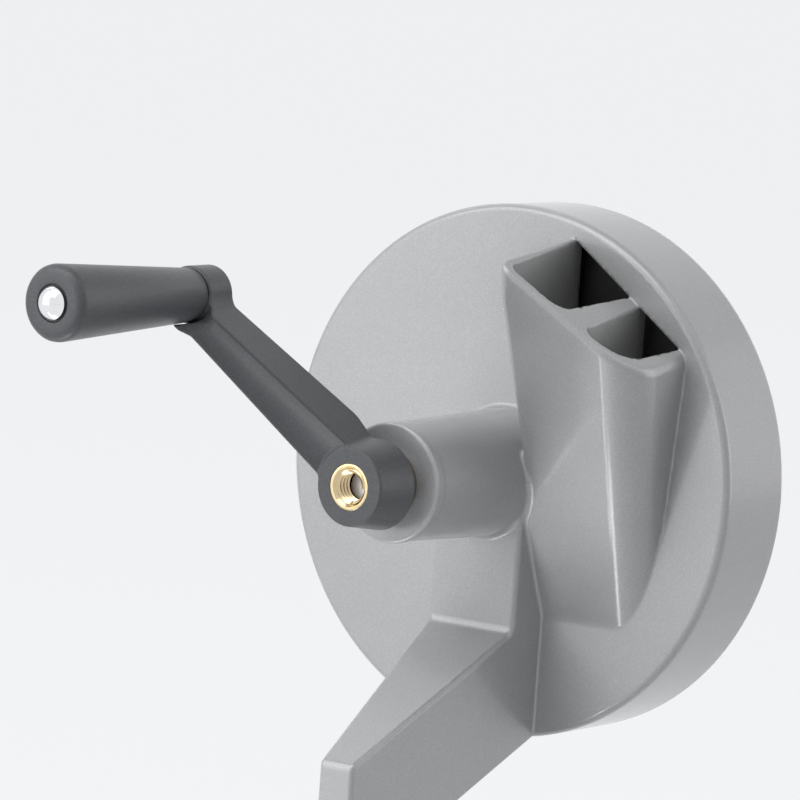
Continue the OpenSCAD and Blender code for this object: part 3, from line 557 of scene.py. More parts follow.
def grown(name, tree, values):
    """Runs a geometry tree and returns its result as a plain mesh."""
    seed = bpy.data.objects.new(name, bpy.data.meshes.new(name))
    bpy.context.scene.collection.objects.link(seed)
    grow = seed.modifiers.new("grow", "NODES")
    grow.node_group = tree
    for socket in tree.interface.items_tree:
        if socket.in_out == "INPUT" and socket.name in values:
            grow[socket.identifier] = values[socket.name]
    data = bpy.data.meshes.new_from_object(seed.evaluated_get(bpy.context.evaluated_depsgraph_get()))
    bpy.data.objects.remove(seed)
    return data


# A thread: one ridge of kite section, swept along a spiral
screw_thread, given, last = geometry_group("screw thread", [
    ("Root radius", "Float"), ("Pitch", "Float"), ("Turns", "Float"), ("Ridge", "Float"),
    ("Steps per turn", "Int"), ("Material", "Material")])
t = screw_thread
spiral = add(t, "GeometryNodeCurveSpiral", Resolution=given["Steps per turn"], Rotations=given["Turns"],
             Start_Radius=given["Root radius"], End_Radius=given["Root radius"],
             Height=maths(t, "MULTIPLY", given["Pitch"], given["Turns"]))
upright = t.nodes.new("GeometryNodeSetCurveNormal")
upright.mode = "Z_UP"
wire(t, upright, i0=spiral.outputs[0])
ridge = t.nodes.new("GeometryNodeCurvePrimitiveQuadrilateral")
ridge.mode = "KITE"
crest = maths(t, "MULTIPLY", given["Pitch"], CREST_SHARE)
wire(t, ridge, Width=maths(t, "MULTIPLY", given["Ridge"], 2.0), Bottom_Height=crest, Top_Height=crest)
sweep = add(t, "GeometryNodeCurveToMesh", i0=upright.outputs[0], i1=ridge.outputs[0], Fill_Caps=True)
put_out_real(t, last, sweep.outputs[0], given["Material"])


def thread_turns(name, radius, pitch, length, ridge, material, place):
    """Thread turns along Z, moved to their place."""
    data = grown(name, screw_thread, {
        "Root radius": radius * MM, "Pitch": pitch * MM, "Turns": length / pitch, "Ridge": ridge * MM,
        "Steps per turn": THREAD_STEPS, "Material": material})
    data.transform(place)
    return data


def weld(piece, *parts):
    """Adds meshes to a piece."""
    mesh = bmesh.new()
    mesh.from_mesh(piece.data)
    for part in parts:
        mesh.from_mesh(part)
        bpy.data.meshes.remove(part)
    mesh.to_mesh(piece.data)
    mesh.free()
    piece.data.shade_smooth()
    piece.data.set_sharp_from_angle(angle=math.radians(30))


def on_drum_axis(forward):
    """Puts what is made along Z on the drum's axis, from that far in front of the drum's face."""
    place = Matrix.Translation((0, (FACE_Y - forward) * MM, AXIS_HEIGHT * MM))
    return place @ Matrix.Rotation(math.radians(90), 4, "X")


ground_steel = metal("ground steel", (0.72, 0.72, 0.72), roughness=0.22)
SHAFT_FRONT, SHOULDER_BACK = CRANK_FRONT - SHAFT_RECESS, DISC_HUB_BACK - DISC_PLAY
shaft = turned("turned_shaft", [
    (0, SHAFT_FRONT), (FRONT_ROOT_R, SHAFT_FRONT), (FRONT_ROOT_R, CRANK_BACK), (SHAFT_R, CRANK_BACK),
    (SHAFT_R, -SHOULDER_BACK), (REAR_ROOT_R, -SHOULDER_BACK), (REAR_ROOT_R, -SHAFT_BACK), (0, -SHAFT_BACK)],
    [0, 0.5, 0, 0.4, 0.3, 0, 0.6, 0], "forward")
for v in shaft.data.vertices:
    if DISC_FRONT - 0.1 < v.co.y / MM - FACE_Y < DISC_HUB_BACK + 0.1:
        v.co.z = max(min(v.co.z, (AXIS_HEIGHT + FLAT) * MM), (AXIS_HEIGHT - FLAT) * MM)
front_len = SHAFT_FRONT - CRANK_BACK - 2 * THREAD_LEAD
rear_len = SHAFT_BACK - DISC_HUB_BACK - 2 * THREAD_LEAD
weld(shaft,
     thread_turns("front thread", FRONT_ROOT_R + 0.05, FRONT_PITCH, front_len, FRONT_RIDGE, ground_steel,
                  on_drum_axis(CRANK_BACK + THREAD_LEAD)),
     thread_turns("rear thread", REAR_ROOT_R, REAR_PITCH, rear_len, REAR_RIDGE, ground_steel,
                  on_drum_axis(THREAD_LEAD - SHAFT_BACK)))
fit(shaft, ground_steel, "drive_shaft", "crank")
# The shaft's front end face takes a far brighter steel than the rest of the shaft: painted light, so that the
# end shows white down the insert's bore.
shaft.data.materials.append(metal("bright steel as painted light on the shaft's end", (0.93, 0.93, 0.93), roughness=0.5, depth=0.05))
for face in shaft.data.polygons:
    if FACE_Y - face.center.y / MM > SHAFT_FRONT - 0.6 and face.normal.y < -0.5:
        face.material_index = 1

# Washers on the shaft
# Plain zinc plated washers: a thick spacer behind the crank's hub, a thin one in front of the knife
# disc, and one under the disc's nut.
SPACER_START, SPACER_T, THRUST_T = 60.3, 3.0, 0.8
NUT_WASHER_R, NUT_WASHER_BORE_R, NUT_WASHER_T = 12.0, 4.05, 1.6
zinc = metal("zinc plate", (0.60, 0.61, 0.63), roughness=0.34, depth=0.15, per_mm=3.0)


def washer(name, node, outer, inner, start, thick, way):
    piece = turned(name, [(inner, start), (outer, start), (outer, start + thick), (inner, start + thick)],
                   [min(0.3, thick / 4)] * 4, way)
    fit(piece, zinc, node, "crank")


washer("crank_spacer", "front_washer", FLANGE_R, BUSH_BORE_R, SPACER_START, SPACER_T, "forward")
washer("thrust_washer", "rear_washer", FLANGE_R, BUSH_BORE_R, DISC_FRONT - THRUST_T, THRUST_T, "back")
washer("nut_washer", "disc_washer", NUT_WASHER_R, NUT_WASHER_BORE_R, DISC_HUB_BACK, NUT_WASHER_T, "back")

# Knife disc
# A cast aluminium disc that turns behind the drum's face. A bead and three ribs stiffen its back, and
# three slots with sloping seats take the knives. Its lacquer is near black. That is partly the disc's own
# colour and partly painted shade, so that the windows in the drum's face show dark.
DISC_R, DISC_T, DISC_HUB_R, DISC_HUB_T, BEAD_W, BEAD_T = 74.5, 4.0, 16.0, 11.0, 3.0, 8.0
RIB_START, RIB_END, RIB_HALF_W, RIB_T = 1.0, 73.0, 1.4, 7.8
KNIVES, KNIFE_START, KNIFE_LEN, KNIFE_W, SLOT_W, KNIFE_T = 3, 20.5, 50.0, 14.0, 9.0, 1.2
KNIFE_SLOPE, OVERHANG, SEAT_START, SEAT_END, SEAT_PLAY = math.radians(8), 3.0, -9.2, 11.2, 0.1
DISC_EDGE, HUB_EDGE, SEAT_EDGE = 0.8, 1.0, 0.6


def turned_round(x, h, share):
    """A point's place along and across a direction that is turned by a share of a full turn."""
    a = -2 * math.pi * share
    return x * math.cos(a) - h * math.sin(a), x * math.sin(a) + h * math.cos(a)


def disc_depth(x, y, z):
    h, b = z - AXIS_HEIGHT, y - FACE_Y - DISC_FRONT
    rho = np.hypot(x, h)
    plate = trim(rho - DISC_R, between(b, 0, DISC_T), DISC_EDGE)
    hub = trim(rho - DISC_HUB_R, between(b, 0, DISC_HUB_T), HUB_EDGE)
    bead = trim(between(rho, DISC_R - BEAD_W, DISC_R), between(b, 0, BEAD_T), DISC_EDGE)
    ribs, cuts = 1e3, 1e3
    for k in range(KNIVES):
        u, v = turned_round(x, h, (k + 0.5) / KNIVES)
        rib = trim(np.abs(v) - RIB_HALF_W, between(u, RIB_START, RIB_END), 0.3)
        ribs = np.minimum(ribs, trim(rib, between(b, 0, RIB_T), DISC_EDGE))
        u, v = turned_round(x, h, k / KNIVES)
        end = between(u, KNIFE_START, KNIFE_START + KNIFE_LEN)
        slot = trim(end + 1, between(v, -SLOT_W, 0), 2.0)
        lift = KNIFE_T - b + (v - KNIFE_W + OVERHANG) * math.tan(KNIFE_SLOPE)
        seat = trim(end - SEAT_PLAY, -lift * math.cos(KNIFE_SLOPE), 0.2)
        seat = trim(seat, between(v, SEAT_START, SEAT_END), SEAT_EDGE)
        cuts = np.minimum(cuts, np.minimum(slot, seat))
    disc = blend_in(blend_in(plate, hub, 2.0), bead, 1.5)
    disc = trim(blend_in(disc, ribs, 1.2), np.maximum(rho - DISC_R, -b), 0.5)
    disc = trim(disc, -cuts, 0.3)
    return np.maximum(disc, -np.maximum(rho - SHAFT_R - DISC_PLAY, np.abs(h) - FLAT - DISC_PLAY))


disc_y = FACE_Y + DISC_FRONT
knife_disc = moulded("disc_casting", disc_depth, (-76, disc_y - 1, AXIS_HEIGHT - 76),
                     (76, disc_y + 12, AXIS_HEIGHT + 76), cell=0.6, most_faces=110000)
# The disc's lacquer is near black: partly its own colour, partly painted shade for the dark windows.
disc_lacquer_and_window_shade = grained("disc lacquer, painted window shade", (0.022, 0.022, 0.024), speck=(0.06, 0.06, 0.06), amount=0.4,
                        per_mm=2.5, depth=0.2, roughness=0.40, patches=0.2)
fit(knife_disc, disc_lacquer_and_window_shade, "knife_disc", "crank")

# Knives
# Three flat blades of hardened strip, each ground to one bevel along its slot and held by two
# countersunk screws.
SCREW_HEAD_R, SCREW_R, SCREW_LEN, SCREW_STEPS = 3.5, 2.0, 5.5, 24
PIT_INSET, PIT_DEPTH = 0.25, 0.7
ground_blade = metal("ground blade", (0.66, 0.67, 0.68), roughness=0.2, depth=0.25, per_mm=6.0,
                     across=(0, 1, 0))
for node in ("knife_1", "knife_2", "knife_3"):
    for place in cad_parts[node].material_slots:
        place.material = ground_blade

# One screw, with four small pits in its head for the driver
screw = bmesh.new()
rings = [[screw.verts.new(Vector((r * math.cos(a), r * math.sin(a), at)) * MM)
          for a in [2 * math.pi * k / SCREW_STEPS for k in range(SCREW_STEPS if r else 1)]]
         for r, at in ((0, KNIFE_T - SCREW_LEN), (SCREW_R, KNIFE_T - SCREW_LEN), (SCREW_R, 0.0),
                       (SCREW_HEAD_R - 0.05, KNIFE_T - 0.12), (SCREW_HEAD_R - 0.15, KNIFE_T), (0, KNIFE_T))]
join_rings(screw, rings)
rim, top = rings[-2], list(rings[-1][0].link_faces)
for k in range(0, SCREW_STEPS, SCREW_STEPS // 4):
    pit = [f for f in top if rim[k] in f.verts and rim[k + 1] in f.verts]
    bmesh.ops.inset_region(screw, faces=pit, thickness=PIT_INSET * MM, depth=-PIT_DEPTH * MM)
one_screw = bpy.data.objects.new("knife screw", bpy.data.meshes.new("knife screw"))
screw.to_mesh(one_screw.data)
screw.free()

# Two screws on a knife, and as many pairs round the disc as it has knives
set_screws, given, last = geometry_group("screws on the knives", [
    ("Screw", "Object"), ("Knives", "Int"), ("First along", "Float"), ("Step along", "Float"),
    ("Across", "Float"), ("Seat height", "Float"), ("Seat slope", "Float"), ("Material", "Material")])
t = set_screws
first = add(t, "ShaderNodeCombineXYZ", X=given["First along"], Y=given["Across"], Z=given["Seat height"])
step = add(t, "ShaderNodeCombineXYZ", X=given["Step along"])
pair = add(t, "GeometryNodeMeshLine", Count=2, Start_Location=first.outputs[0], Offset=step.outputs[0])
tilt = add(t, "ShaderNodeCombineXYZ", X=given["Seat slope"])
shape = add(t, "GeometryNodeObjectInfo", Object=given["Screw"])
two = add(t, "GeometryNodeInstanceOnPoints", Points=pair.outputs[0], Instance=shape.outputs["Geometry"],
          Rotation=tilt.outputs[0])
knives = add(t, "GeometryNodeMeshLine", Count=given["Knives"], Offset=(0, 0, 0))
number = t.nodes.new("GeometryNodeInputIndex").outputs[0]
about = add(t, "ShaderNodeCombineXYZ", Z=maths(t, "MULTIPLY", number, 2 * math.pi / KNIVES))
every = add(t, "GeometryNodeInstanceOnPoints", Points=knives.outputs[0], Instance=two.outputs[0],
            Rotation=about.outputs[0])
put_out_real(t, last, every.outputs[0], given["Material"])

on_seat = (KNIFE_W + 2.5 + OVERHANG) / 2 - KNIFE_W
screws = bpy.data.objects.new("knife_screws_set", grown("knife_screws_set", set_screws, {
    "Screw": one_screw, "Knives": KNIVES, "First along": (KNIFE_START + KNIFE_LEN / 6) * MM,
    "Step along": KNIFE_LEN * 2 / 3 * MM,
    "Across": (KNIFE_W - OVERHANG + on_seat * math.cos(KNIFE_SLOPE)) * MM,
    "Seat height": (-KNIFE_T - on_seat * math.sin(KNIFE_SLOPE)) * MM,
    "Seat slope": -KNIFE_SLOPE, "Material": ground_steel}))
bpy.context.scene.collection.objects.link(screws)
bpy.data.objects.remove(one_screw)
screws.data.transform(on_drum_axis(-DISC_FRONT))
screws.data.shade_smooth()
screws.data.set_sharp_from_angle(angle=math.radians(30))
fit(screws, ground_steel, "knife_screws", "crank")

# Disc nut
# A zinc plated hexagon nut, chamfered on both faces and screwed on the shaft's rear thread. A split
# spring washer of the same steel lies under it and keeps it tight.
NUT_FLATS, NUT_START, NUT_T, NUT_STEPS = 13.0, 21.545, 5.5, 48
CHAMFER, CHAMFER_SHARE, BORE_CHAMFER = 0.35, 0.93, 0.4
corner_r, bore_r = NUT_FLATS / 2 / math.cos(math.pi / 6), REAR_THREAD_R + 0.05


def hexagon(a, shrink):
    """How far a nut's side lies from its axis, in a direction."""
    flat = NUT_FLATS / 2 / math.cos((a % (math.pi / 3)) - math.pi / 6)
    return min(flat, corner_r * shrink)


def bore(a, widen):
    return bore_r + widen


nut = bmesh.new()
loops = []
for outline, amount, at in (
        (hexagon, CHAMFER_SHARE, 0.0), (hexagon, 1.0, CHAMFER), (hexagon, 1.0, NUT_T - CHAMFER),
        (hexagon, CHAMFER_SHARE, NUT_T), (bore, 0.3, NUT_T), (bore, 0.0, NUT_T - BORE_CHAMFER),
        (bore, 0.0, BORE_CHAMFER), (bore, 0.3, 0.0)):
    ring = []
    for k in range(NUT_STEPS):
        a = 2 * math.pi * (k + 0.5) / NUT_STEPS
        r = outline(a, amount)
        p = Vector((r * math.cos(a), FACE_Y + NUT_START + at, AXIS_HEIGHT + r * math.sin(a)))
        ring.append(nut.verts.new(p * MM))
    loops.append(ring)
join_rings(nut, loops, closed=True)
fit(finished("hexagon_nut", nut, 20), zinc, "disc_nut", "crank")
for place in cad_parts["spring_washer"].material_slots:
    place.material = zinc

# Crank arm
# Glass filled plastic, moulded in one piece: a hub round the brass insert, a tapering arm with a
# shallow trough down its front, and the boss and lip that carry the grip.
CRANK_ANGLE, THROW, INSERT_R = math.radians(134.6), 71.4, 6.9
HUB_R, HUB_DRAFT, ARM_HALF_W, ARM_TAPER = 13.5, 0.135, 7.7, 0.0446
CREASE_START, CREASE_RISE, CREASE_COS = 10.9, 0.427, 0.92
BACK_START, BACK_RISE, BACK_COS = 20.25, 0.494, 0.9
TROUGH_HALF_W, TROUGH_DEPTH, TROUGH_END = 6.9, 1.1, 63.0
TONGUE_RISE, LIP_DROP, POCKET_R, POCKET_DRAW = 3.0, 4.0, 9.2, 0.95
POCKET_START, POCKET_BACK = 61.0, 94.9
BOSS_R, BOSS_BACK, BOSS_FRONT = 8.5, 84.6, 95.1
ARM_EDGE, BOSS_EDGE, BOSS_FILLET, HUB_FILLET = 0.6, 0.7, 2.2, 1.0


def ramp(place, start, length):
    """Runs from 0 to 1 over a length."""
    return np.clip((place - start) / length, 0, 1)


def arm_depth(x, y, z):
    # u runs along the arm from the hub to the boss, and v across it
    h, s = z - AXIS_HEIGHT, FACE_Y - y
    u = x * math.cos(CRANK_ANGLE) + h * math.sin(CRANK_ANGLE)
    v = -x * math.sin(CRANK_ANGLE) + h * math.cos(CRANK_ANGLE)
    around = np.hypot(u, v)
    hub = trim(around - HUB_R + HUB_DRAFT * (s - CRANK_BACK), between(s, CRANK_BACK, CRANK_FRONT), ARM_EDGE)
    crease = (s - CRANK_FRONT - CREASE_RISE * (u - CREASE_START)) * CREASE_COS
    scoop = v / (TROUGH_HALF_W - ARM_TAPER * u)
    crease = crease + TROUGH_DEPTH * np.clip(1 - scoop * scoop, 0, 1) * ramp(-u, -TROUGH_END, 4)
    tongue = ramp(v, 2.0, 3.0) * ramp(u, 59.5, 3.5)
    crease = crease - TONGUE_RISE * tongue * tongue * (3 - 2 * tongue)
    crease = crease + LIP_DROP * ramp(u, 57.5, 5.5) ** 2 * ramp(-v, -2.5, 4)
    pocket = POCKET_R - POCKET_DRAW * ramp(v, 0, 5) - np.hypot(u - THROW, v)
    front = blend_in(trim(crease * 0.85, pocket, 0.4), np.maximum(s - POCKET_BACK, POCKET_START - u), 0.8)
    rear = trim(CRANK_BACK - s, (CRANK_BACK + BACK_RISE * (u - BACK_START) - s) * BACK_COS, 1.0)
    width = np.abs(v) - ARM_HALF_W + ARM_TAPER * u
    arm = trim(trim(front, rear, ARM_EDGE), width, ARM_EDGE)
    arm = np.maximum(arm, np.maximum(-u, u - THROW))
    boss = trim(np.hypot(u - THROW, v) - BOSS_R, between(s, BOSS_BACK, BOSS_FRONT), BOSS_EDGE)
    body = blend_in(blend_in(arm, boss, BOSS_FILLET), hub, HUB_FILLET)
    return np.maximum(body, INSERT_R - around)


boss_x, boss_h = THROW * math.cos(CRANK_ANGLE), THROW * math.sin(CRANK_ANGLE)
crank_arm = moulded("crank_arm_moulding", arm_depth, (boss_x - 11, FACE_Y - 106, AXIS_HEIGHT - 16),
                    (16, FACE_Y - 62, AXIS_HEIGHT + boss_h + 11), cell=0.45, most_faces=120000)
charcoal = grained("charcoal plastic", (0.080, 0.084, 0.092), speck=(0.24, 0.24, 0.25), amount=0.35,
                   per_mm=3.0, depth=0.35, roughness=0.36, patches=0.25)
fit(crank_arm, charcoal, "crank_arm", "crank")

# Brass insert
# A turned brass bush with an M10 thread, moulded into the crank's hub. The crank is screwed with it
# onto the drive shaft.
INSERT_BORE_R, INSERT_MOUTH_R, MOUTH_DEPTH, INSERT_RIDGE, INSERT_TURNS = 5.05, 5.9, 0.9, 0.85, 4
outer_r = INSERT_R - 0.02
insert = turned("threaded_insert", [
    (INSERT_BORE_R, CRANK_BACK), (outer_r, CRANK_BACK), (outer_r, CRANK_FRONT), (INSERT_MOUTH_R, CRANK_FRONT),
    (INSERT_BORE_R, CRANK_FRONT - MOUTH_DEPTH)], [0.2, 0.2, 0.25, 0.1, 0.1], "forward")
brass = metal("turned brass", (0.66, 0.53, 0.32), roughness=0.24, depth=0.08, per_mm=5.0)
weld(insert, thread_turns("insert thread", INSERT_BORE_R, FRONT_PITCH, INSERT_TURNS * FRONT_PITCH,
                          INSERT_RIDGE, brass, on_drum_axis(SHAFT_FRONT - 0.1)))
fit(insert, brass, "crank_insert", "crank")
# The faces at the bore's radius, between the thread's ridges, take a far darker brass: painted shade in the
# thread's roots.
insert.data.materials.append(
    metal("dark brass as painted shade in the thread's roots", (0.16, 0.12, 0.065), roughness=0.4, depth=0.1, per_mm=5.0))
for face in insert.data.polygons:
    off_axis = math.hypot(face.center.x / MM, face.center.z / MM - AXIS_HEIGHT)
    if abs(off_axis - INSERT_BORE_R) < 0.07 and abs(face.normal.y) < 0.1:
        face.material_index = 1

# Grip
# A tapered grip with a rounded free end, moulded of the same plastic round a core that leaves its
# bore. It turns on its pin.
GRIP_START, GRIP_END, GRIP_ROOT_R, GRIP_END_R = 95.4, 156.9, 7.9, 11.4
PIN_R, GRIP_BORE_R, SEAT_R, SEAT_DEPTH = 3.0, 3.06, 5.6, 0.6
grip = turned("grip", [
    (GRIP_BORE_R, GRIP_START), (GRIP_ROOT_R, GRIP_START), (GRIP_END_R, GRIP_END), (SEAT_R, GRIP_END),
    (SEAT_R - 0.3, GRIP_END - SEAT_DEPTH), (GRIP_BORE_R, GRIP_END - SEAT_DEPTH)],
    [0.2, 0.5, 3.2, 0.3, 0.2, 0.2], "forward", centre=(boss_x, boss_h))
fit(grip, charcoal, "crank_grip", "grip")

# Grip pin
# A steel pin with a polished domed head, chrome plated and pressed into the arm's boss. Its head
# keeps the grip in place.
PIN_START, HEAD_R, HEAD_H, HEAD_START, DOME_STEPS = 87.3, 4.9, 2.8, 157.2, 14
sphere_r = (HEAD_R ** 2 + HEAD_H ** 2) / (2 * HEAD_H)
dome = [(sphere_r * math.sin(a), HEAD_START + HEAD_H - sphere_r + sphere_r * math.cos(a))
        for a in np.linspace(math.asin(HEAD_R / sphere_r) * 0.97, 0, DOME_STEPS)]
pin = turned("domed_pin", [
    (0, PIN_START), (PIN_R, PIN_START), (PIN_R, HEAD_START), (HEAD_R - 0.1, HEAD_START), *dome[:-1],
    (0, dome[-1][1])], [0, 0.3, 0, 0.25] + [0] * DOME_STEPS, "forward", centre=(boss_x, boss_h))
chrome = metal("chrome plate", (0.86, 0.87, 0.88), roughness=0.05, depth=0.02, per_mm=3.0,
               centre=(boss_x * MM, 0, (AXIS_HEIGHT + boss_h) * MM))
fit(pin, chrome, "grip_pin", "crank")

# Clamp spindle
# A steel spindle with a 2 mm pitch thread. Its neck turns in the pressure plate, and its lower end is
# pinned in the knob.
PLATE_TOP, PLATE_BOTTOM, SHOULDER, KNOB_TOP, KNOB_BOTTOM = -47.5, -52.5, -52.8, -115.8, -132.8
SPINDLE_R, NECK_R, SPINDLE_PITCH, SPINDLE_RIDGE = 5.0, 3.0, 2.0, 0.75
THREAD_START, THREAD_END, NECK_TOP = KNOB_TOP + 3.4, SHOULDER - 1.4, PLATE_TOP - 0.3
root_r = SPINDLE_R - SPINDLE_RIDGE
zinc_upright = metal("zinc plate on the spindle", (0.60, 0.61, 0.63), roughness=0.32, depth=0.15, per_mm=3.0,
                     centre=(0, 0, 0), across=(1, 1, 0))
spindle = turned("spindle", [
    (0, KNOB_BOTTOM), (SPINDLE_R, KNOB_BOTTOM), (SPINDLE_R, KNOB_TOP + 2), (root_r, KNOB_TOP + 3),
    (root_r, SHOULDER - 1.2), (SPINDLE_R - 0.6, SHOULDER), (NECK_R, SHOULDER), (NECK_R, NECK_TOP),
    (0, NECK_TOP)], [0, 0.5, 0.3, 0.3, 0.2, 0.2, 0.2, 0.4, 0], "up")
weld(spindle, thread_turns("spindle thread", root_r, SPINDLE_PITCH, THREAD_END - THREAD_START, SPINDLE_RIDGE,
                           zinc_upright, Matrix.Translation((0, 0, THREAD_START * MM))))
fit(spindle, zinc_upright, "clamp_spindle", "spindle")

# Pressure plate
# A turned steel plate that stays still while the spindle turns in it. A soft rubber pad is stuck on
# its top, and a washer riveted on the neck holds it.
PLATE_R, WASHER_R, WASHER_BOTTOM, WASHER_TOP, WEB_T = 15.0, 6.0, -50.2, -49.0, 2.0
PAD_TOP, GROOVE_DEPTH, GROOVE_IN, GROOVE_OUT, GROOVE_SIDE = -45.0, 0.5, 9.0, 11.0, 0.4
hole_r, recess_r = NECK_R + 0.05, WASHER_R + 0.3
plate = turned("plate", [
    (hole_r, PLATE_BOTTOM), (PLATE_R, PLATE_BOTTOM), (PLATE_R, PLATE_TOP), (recess_r, PLATE_TOP),
    (recess_r, PLATE_BOTTOM + WEB_T), (hole_r, PLATE_BOTTOM + WEB_T)], [0.2, 1.4, 0.3, 0.2, 0.2, 0.2], "up")
fit(plate, zinc_upright, "pressure_plate", "plate")
pad = turned("rubber_pad", [
    (0, PLATE_TOP), (PLATE_R, PLATE_TOP), (PLATE_R, PAD_TOP), (GROOVE_OUT, PAD_TOP),
    (GROOVE_OUT - GROOVE_SIDE, PAD_TOP - GROOVE_DEPTH), (GROOVE_IN + GROOVE_SIDE, PAD_TOP - GROOVE_DEPTH),
    (GROOVE_IN, PAD_TOP), (0, PAD_TOP)], [0, 0.2, 0.6, 0.2, 0.2, 0.2, 0.2, 0], "up")
rubber = grained("soft rubber", (0.03, 0.03, 0.032), speck=(0.08, 0.08, 0.08), amount=0.3, per_mm=4.0,
                 depth=0.3, roughness=0.75, patches=0.3)
fit(pad, rubber, "plate_pad", "plate")
neck_washer = turned("neck_washer", [
    (NECK_R, WASHER_BOTTOM), (WASHER_R, WASHER_BOTTOM), (WASHER_R, WASHER_TOP), (NECK_R, WASHER_TOP)],
    [FINE_EDGE] * 4, "up")
fit(neck_washer, zinc_upright, "plate_washer", "spindle")

# Clamp knob
# A wing knob, moulded of the same plastic as the crank and pushed onto the spindle's lower end. A
# zinc plated steel pin goes across both.
KNOB_MID = (KNOB_TOP + KNOB_BOTTOM) / 2
KNOB_HUB_R, KNOB_HALF_H, WING_REACH, WING_HALF_H, WING_HALF_T = 11.0, 8.5, 22.5, 7.5, 3.5
CROSS_PIN_R, CROSS_PIN_HALF_LEN, CROSS_PIN_EDGE, HOLE_PLAY = 2.0, 10.5, 0.3, 0.02


def knob_depth(x, y, z):
    h = z - KNOB_MID
    hub = trim(np.hypot(x, y) - KNOB_HUB_R, np.abs(h) - KNOB_HALF_H, 1.5)
    tip = np.hypot(np.abs(x) - WING_REACH, h) - KNOB_HALF_H
    web = np.maximum(np.abs(h) - WING_HALF_H - 0.001 * np.abs(x), np.abs(x) - WING_REACH)
    wing = trim(np.minimum(tip, web), np.abs(y) - WING_HALF_T, 1.4)
    body = trim(blend_in(hub, wing, 3.0), np.abs(h) - KNOB_HALF_H, 1.2)
    holes = np.minimum(np.hypot(x, y) - SPINDLE_R, np.hypot(x, h) - CROSS_PIN_R) - HOLE_PLAY
    return np.maximum(body, -holes)


knob = moulded("wing_knob", knob_depth, (-32.5, -12.5, KNOB_BOTTOM - 1.2), (32.5, 12.5, KNOB_TOP + 1.2),
               cell=0.5, most_faces=40000)
fit(knob, charcoal, "clamp_knob", "spindle")
front_half = ((0, CROSS_PIN_HALF_LEN), (CROSS_PIN_R - CROSS_PIN_EDGE, CROSS_PIN_HALF_LEN),
              (CROSS_PIN_R, CROSS_PIN_HALF_LEN - CROSS_PIN_EDGE))
cross_pin = turned("cross_pin", [(r, -at - FACE_Y) for r, at in front_half] +
                   [(r, at - FACE_Y) for r, at in reversed(front_half)],
                   [0] * 6, centre=(0, KNOB_MID - AXIS_HEIGHT), steps=32)
fit(cross_pin, zinc_upright, "knob_pin", "spindle")

# Studio
# A plain pale floor and a white surround, soft lamps, and the camera of the photograph. Places and
# sizes are in metres here.
FLOOR_Z, FLOOR_HALF = -0.1345, 30
FLOOR_GLOW, WORLD_LIGHT = 0.88, 0.04
floor_mesh = bmesh.new()
for x, y in ((-1, -1), (1, -1), (1, 1), (-1, 1)):
    floor_mesh.verts.new((x * FLOOR_HALF, y * FLOOR_HALF, FLOOR_Z))
floor_mesh.faces.new(floor_mesh.verts)
floor = finished("floor", floor_mesh)


def show_behind(tree, lit, shown, share):
    """Mixes what a background shows to the camera and in reflections with what lights the slicer."""
    path = tree.nodes.new("ShaderNodeLightPath").outputs
    seen = maths(tree, "MAXIMUM", maths(tree, "MAXIMUM", path["Is Camera Ray"], path["Is Glossy Ray"]),
                 path["Is Transmission Ray"])
    share_seen = maths(tree, "MULTIPLY", seen, share)
    return add(tree, "ShaderNodeMixShader", i0=share_seen, i1=lit, i2=shown).outputs[0]


paper = bpy.data.materials.new("pale paper")
paper.use_nodes = True
t = paper.node_tree
lit = wire(t, t.nodes["Principled BSDF"], Base_Color=(0.82, 0.82, 0.83, 1), Roughness=0.9)
glow = add(t, "ShaderNodeEmission", Color=(0.965, 0.97, 0.985, 1))
wire(t, t.nodes["Material Output"], Surface=show_behind(t, lit.outputs[0], glow.outputs[0], FLOOR_GLOW))
floor.data.materials.append(paper)

world = bpy.data.worlds.new("white surround")
bpy.context.scene.world = world
world.use_nodes = True
t = world.node_tree
lit = wire(t, t.nodes["Background"], Color=(0.96, 0.98, 1.0, 1), Strength=WORLD_LIGHT)
shown = add(t, "ShaderNodeBackground", Color=(0.90, 0.905, 0.92, 1), Strength=1.0)
wire(t, t.nodes["World Output"], Surface=show_behind(t, lit.outputs[0], shown.outputs[0], 1.0))

MIDDLE = Vector((0, 0, 0.10))


def lamp(name, size, power):
    """A rectangular lamp that the camera doesn't see."""
    light = bpy.data.lights.new(name, "AREA")
    light.shape = "RECTANGLE"
    light.size, light.size_y = size
    light.energy = power
    holder = bpy.data.objects.new(name, light)
    holder.visible_camera = False
    bpy.context.scene.collection.objects.link(holder)
    return holder


def softbox(name, way, distance, size, power):
    """A soft lamp that stands off in one direction from the slicer's middle."""
    holder = lamp(name, size, power)
    way = Vector(way).normalized()
    holder.location = MIDDLE + way * distance
    holder.rotation_mode = "QUATERNION"
    holder.rotation_quaternion = (-way).to_track_quat("-Z", "Y")


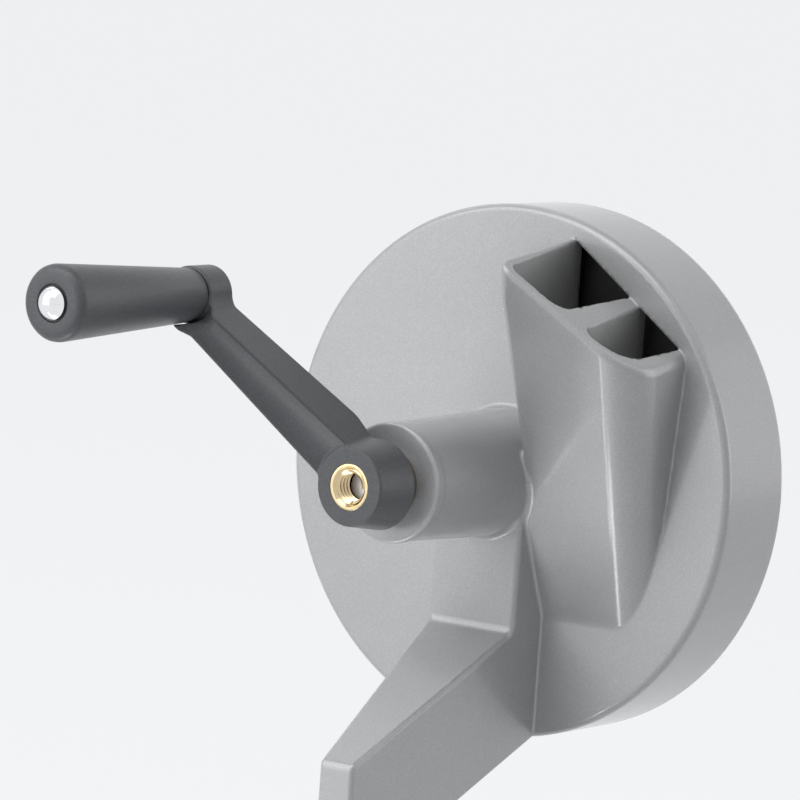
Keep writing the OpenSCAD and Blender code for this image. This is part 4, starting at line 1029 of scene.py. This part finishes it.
def floor_tube(name, place, turn, size, power):
    """A thin tube of light on the floor, which draws the bright line down the chute's corner."""
    holder = lamp(name, size, power)
    holder.location = place
    holder.rotation_euler = (math.pi, 0, math.radians(turn))


softbox("front left lamp", way=(-0.55, -0.7, 0.5), distance=2.0, size=(1.4, 1.4), power=14.0)
softbox("low front lamp", way=(-0.45, -0.66, -0.10), distance=2.0, size=(1.5, 1.0), power=7.8)
softbox("high front lamp", way=(-0.1, -0.6, 0.9), distance=2.0, size=(1.4, 1.4), power=13.0)
softbox("high back lamp", way=(-0.6, 0.3, 0.75), distance=2.0, size=(1.4, 1.4), power=2.8)
softbox("high right lamp", way=(0.6, 0.1, 0.8), distance=2.0, size=(1.2, 1.2), power=3.0)
softbox("back lamp", way=(0.2, 1, 0.05), distance=2.6, size=(3.5, 2.5), power=10.0)
softbox("right edge lamp", way=(1, 0.7, 0.25), distance=2.0, size=(1.0, 1.8), power=8.0)
floor_tube("long floor tube", place=(-0.151, -0.242, -0.12), turn=152, size=(0.022, 0.26), power=0.13)
floor_tube("short floor tube", place=(-0.062, -0.185, -0.12), turn=152, size=(0.05, 0.10), power=0.13)

# The camera stands where the photograph was taken from; its angles are in radians
YAW, PITCH, ROLL = 0.6337351, 0.1185127, 0.07287954
EYE = Vector((1.10946102, -1.53540348, 0.36243704))
FOCAL_PX, PHOTO_PX, SENSOR = 6463.5453, 800, 36
camera = bpy.data.objects.new("camera", bpy.data.cameras.new("camera"))
bpy.context.scene.collection.objects.link(camera)
camera.data.lens = FOCAL_PX / PHOTO_PX * SENSOR
camera.data.clip_start, camera.data.clip_end = 0.1, 60
ahead = Vector((-math.sin(YAW) * math.cos(PITCH), math.cos(YAW) * math.cos(PITCH), -math.sin(PITCH)))
level = Vector((math.cos(YAW), math.sin(YAW), 0))
upright = level.cross(ahead)
right = math.cos(ROLL) * level + math.sin(ROLL) * upright
above = math.cos(ROLL) * upright - math.sin(ROLL) * level
turn = Matrix((right, above, -ahead)).transposed()
camera.matrix_world = Matrix.Translation(EYE) @ turn.to_4x4()
bpy.context.scene.camera = camera
bpy.context.scene.view_settings.view_transform = "Standard"
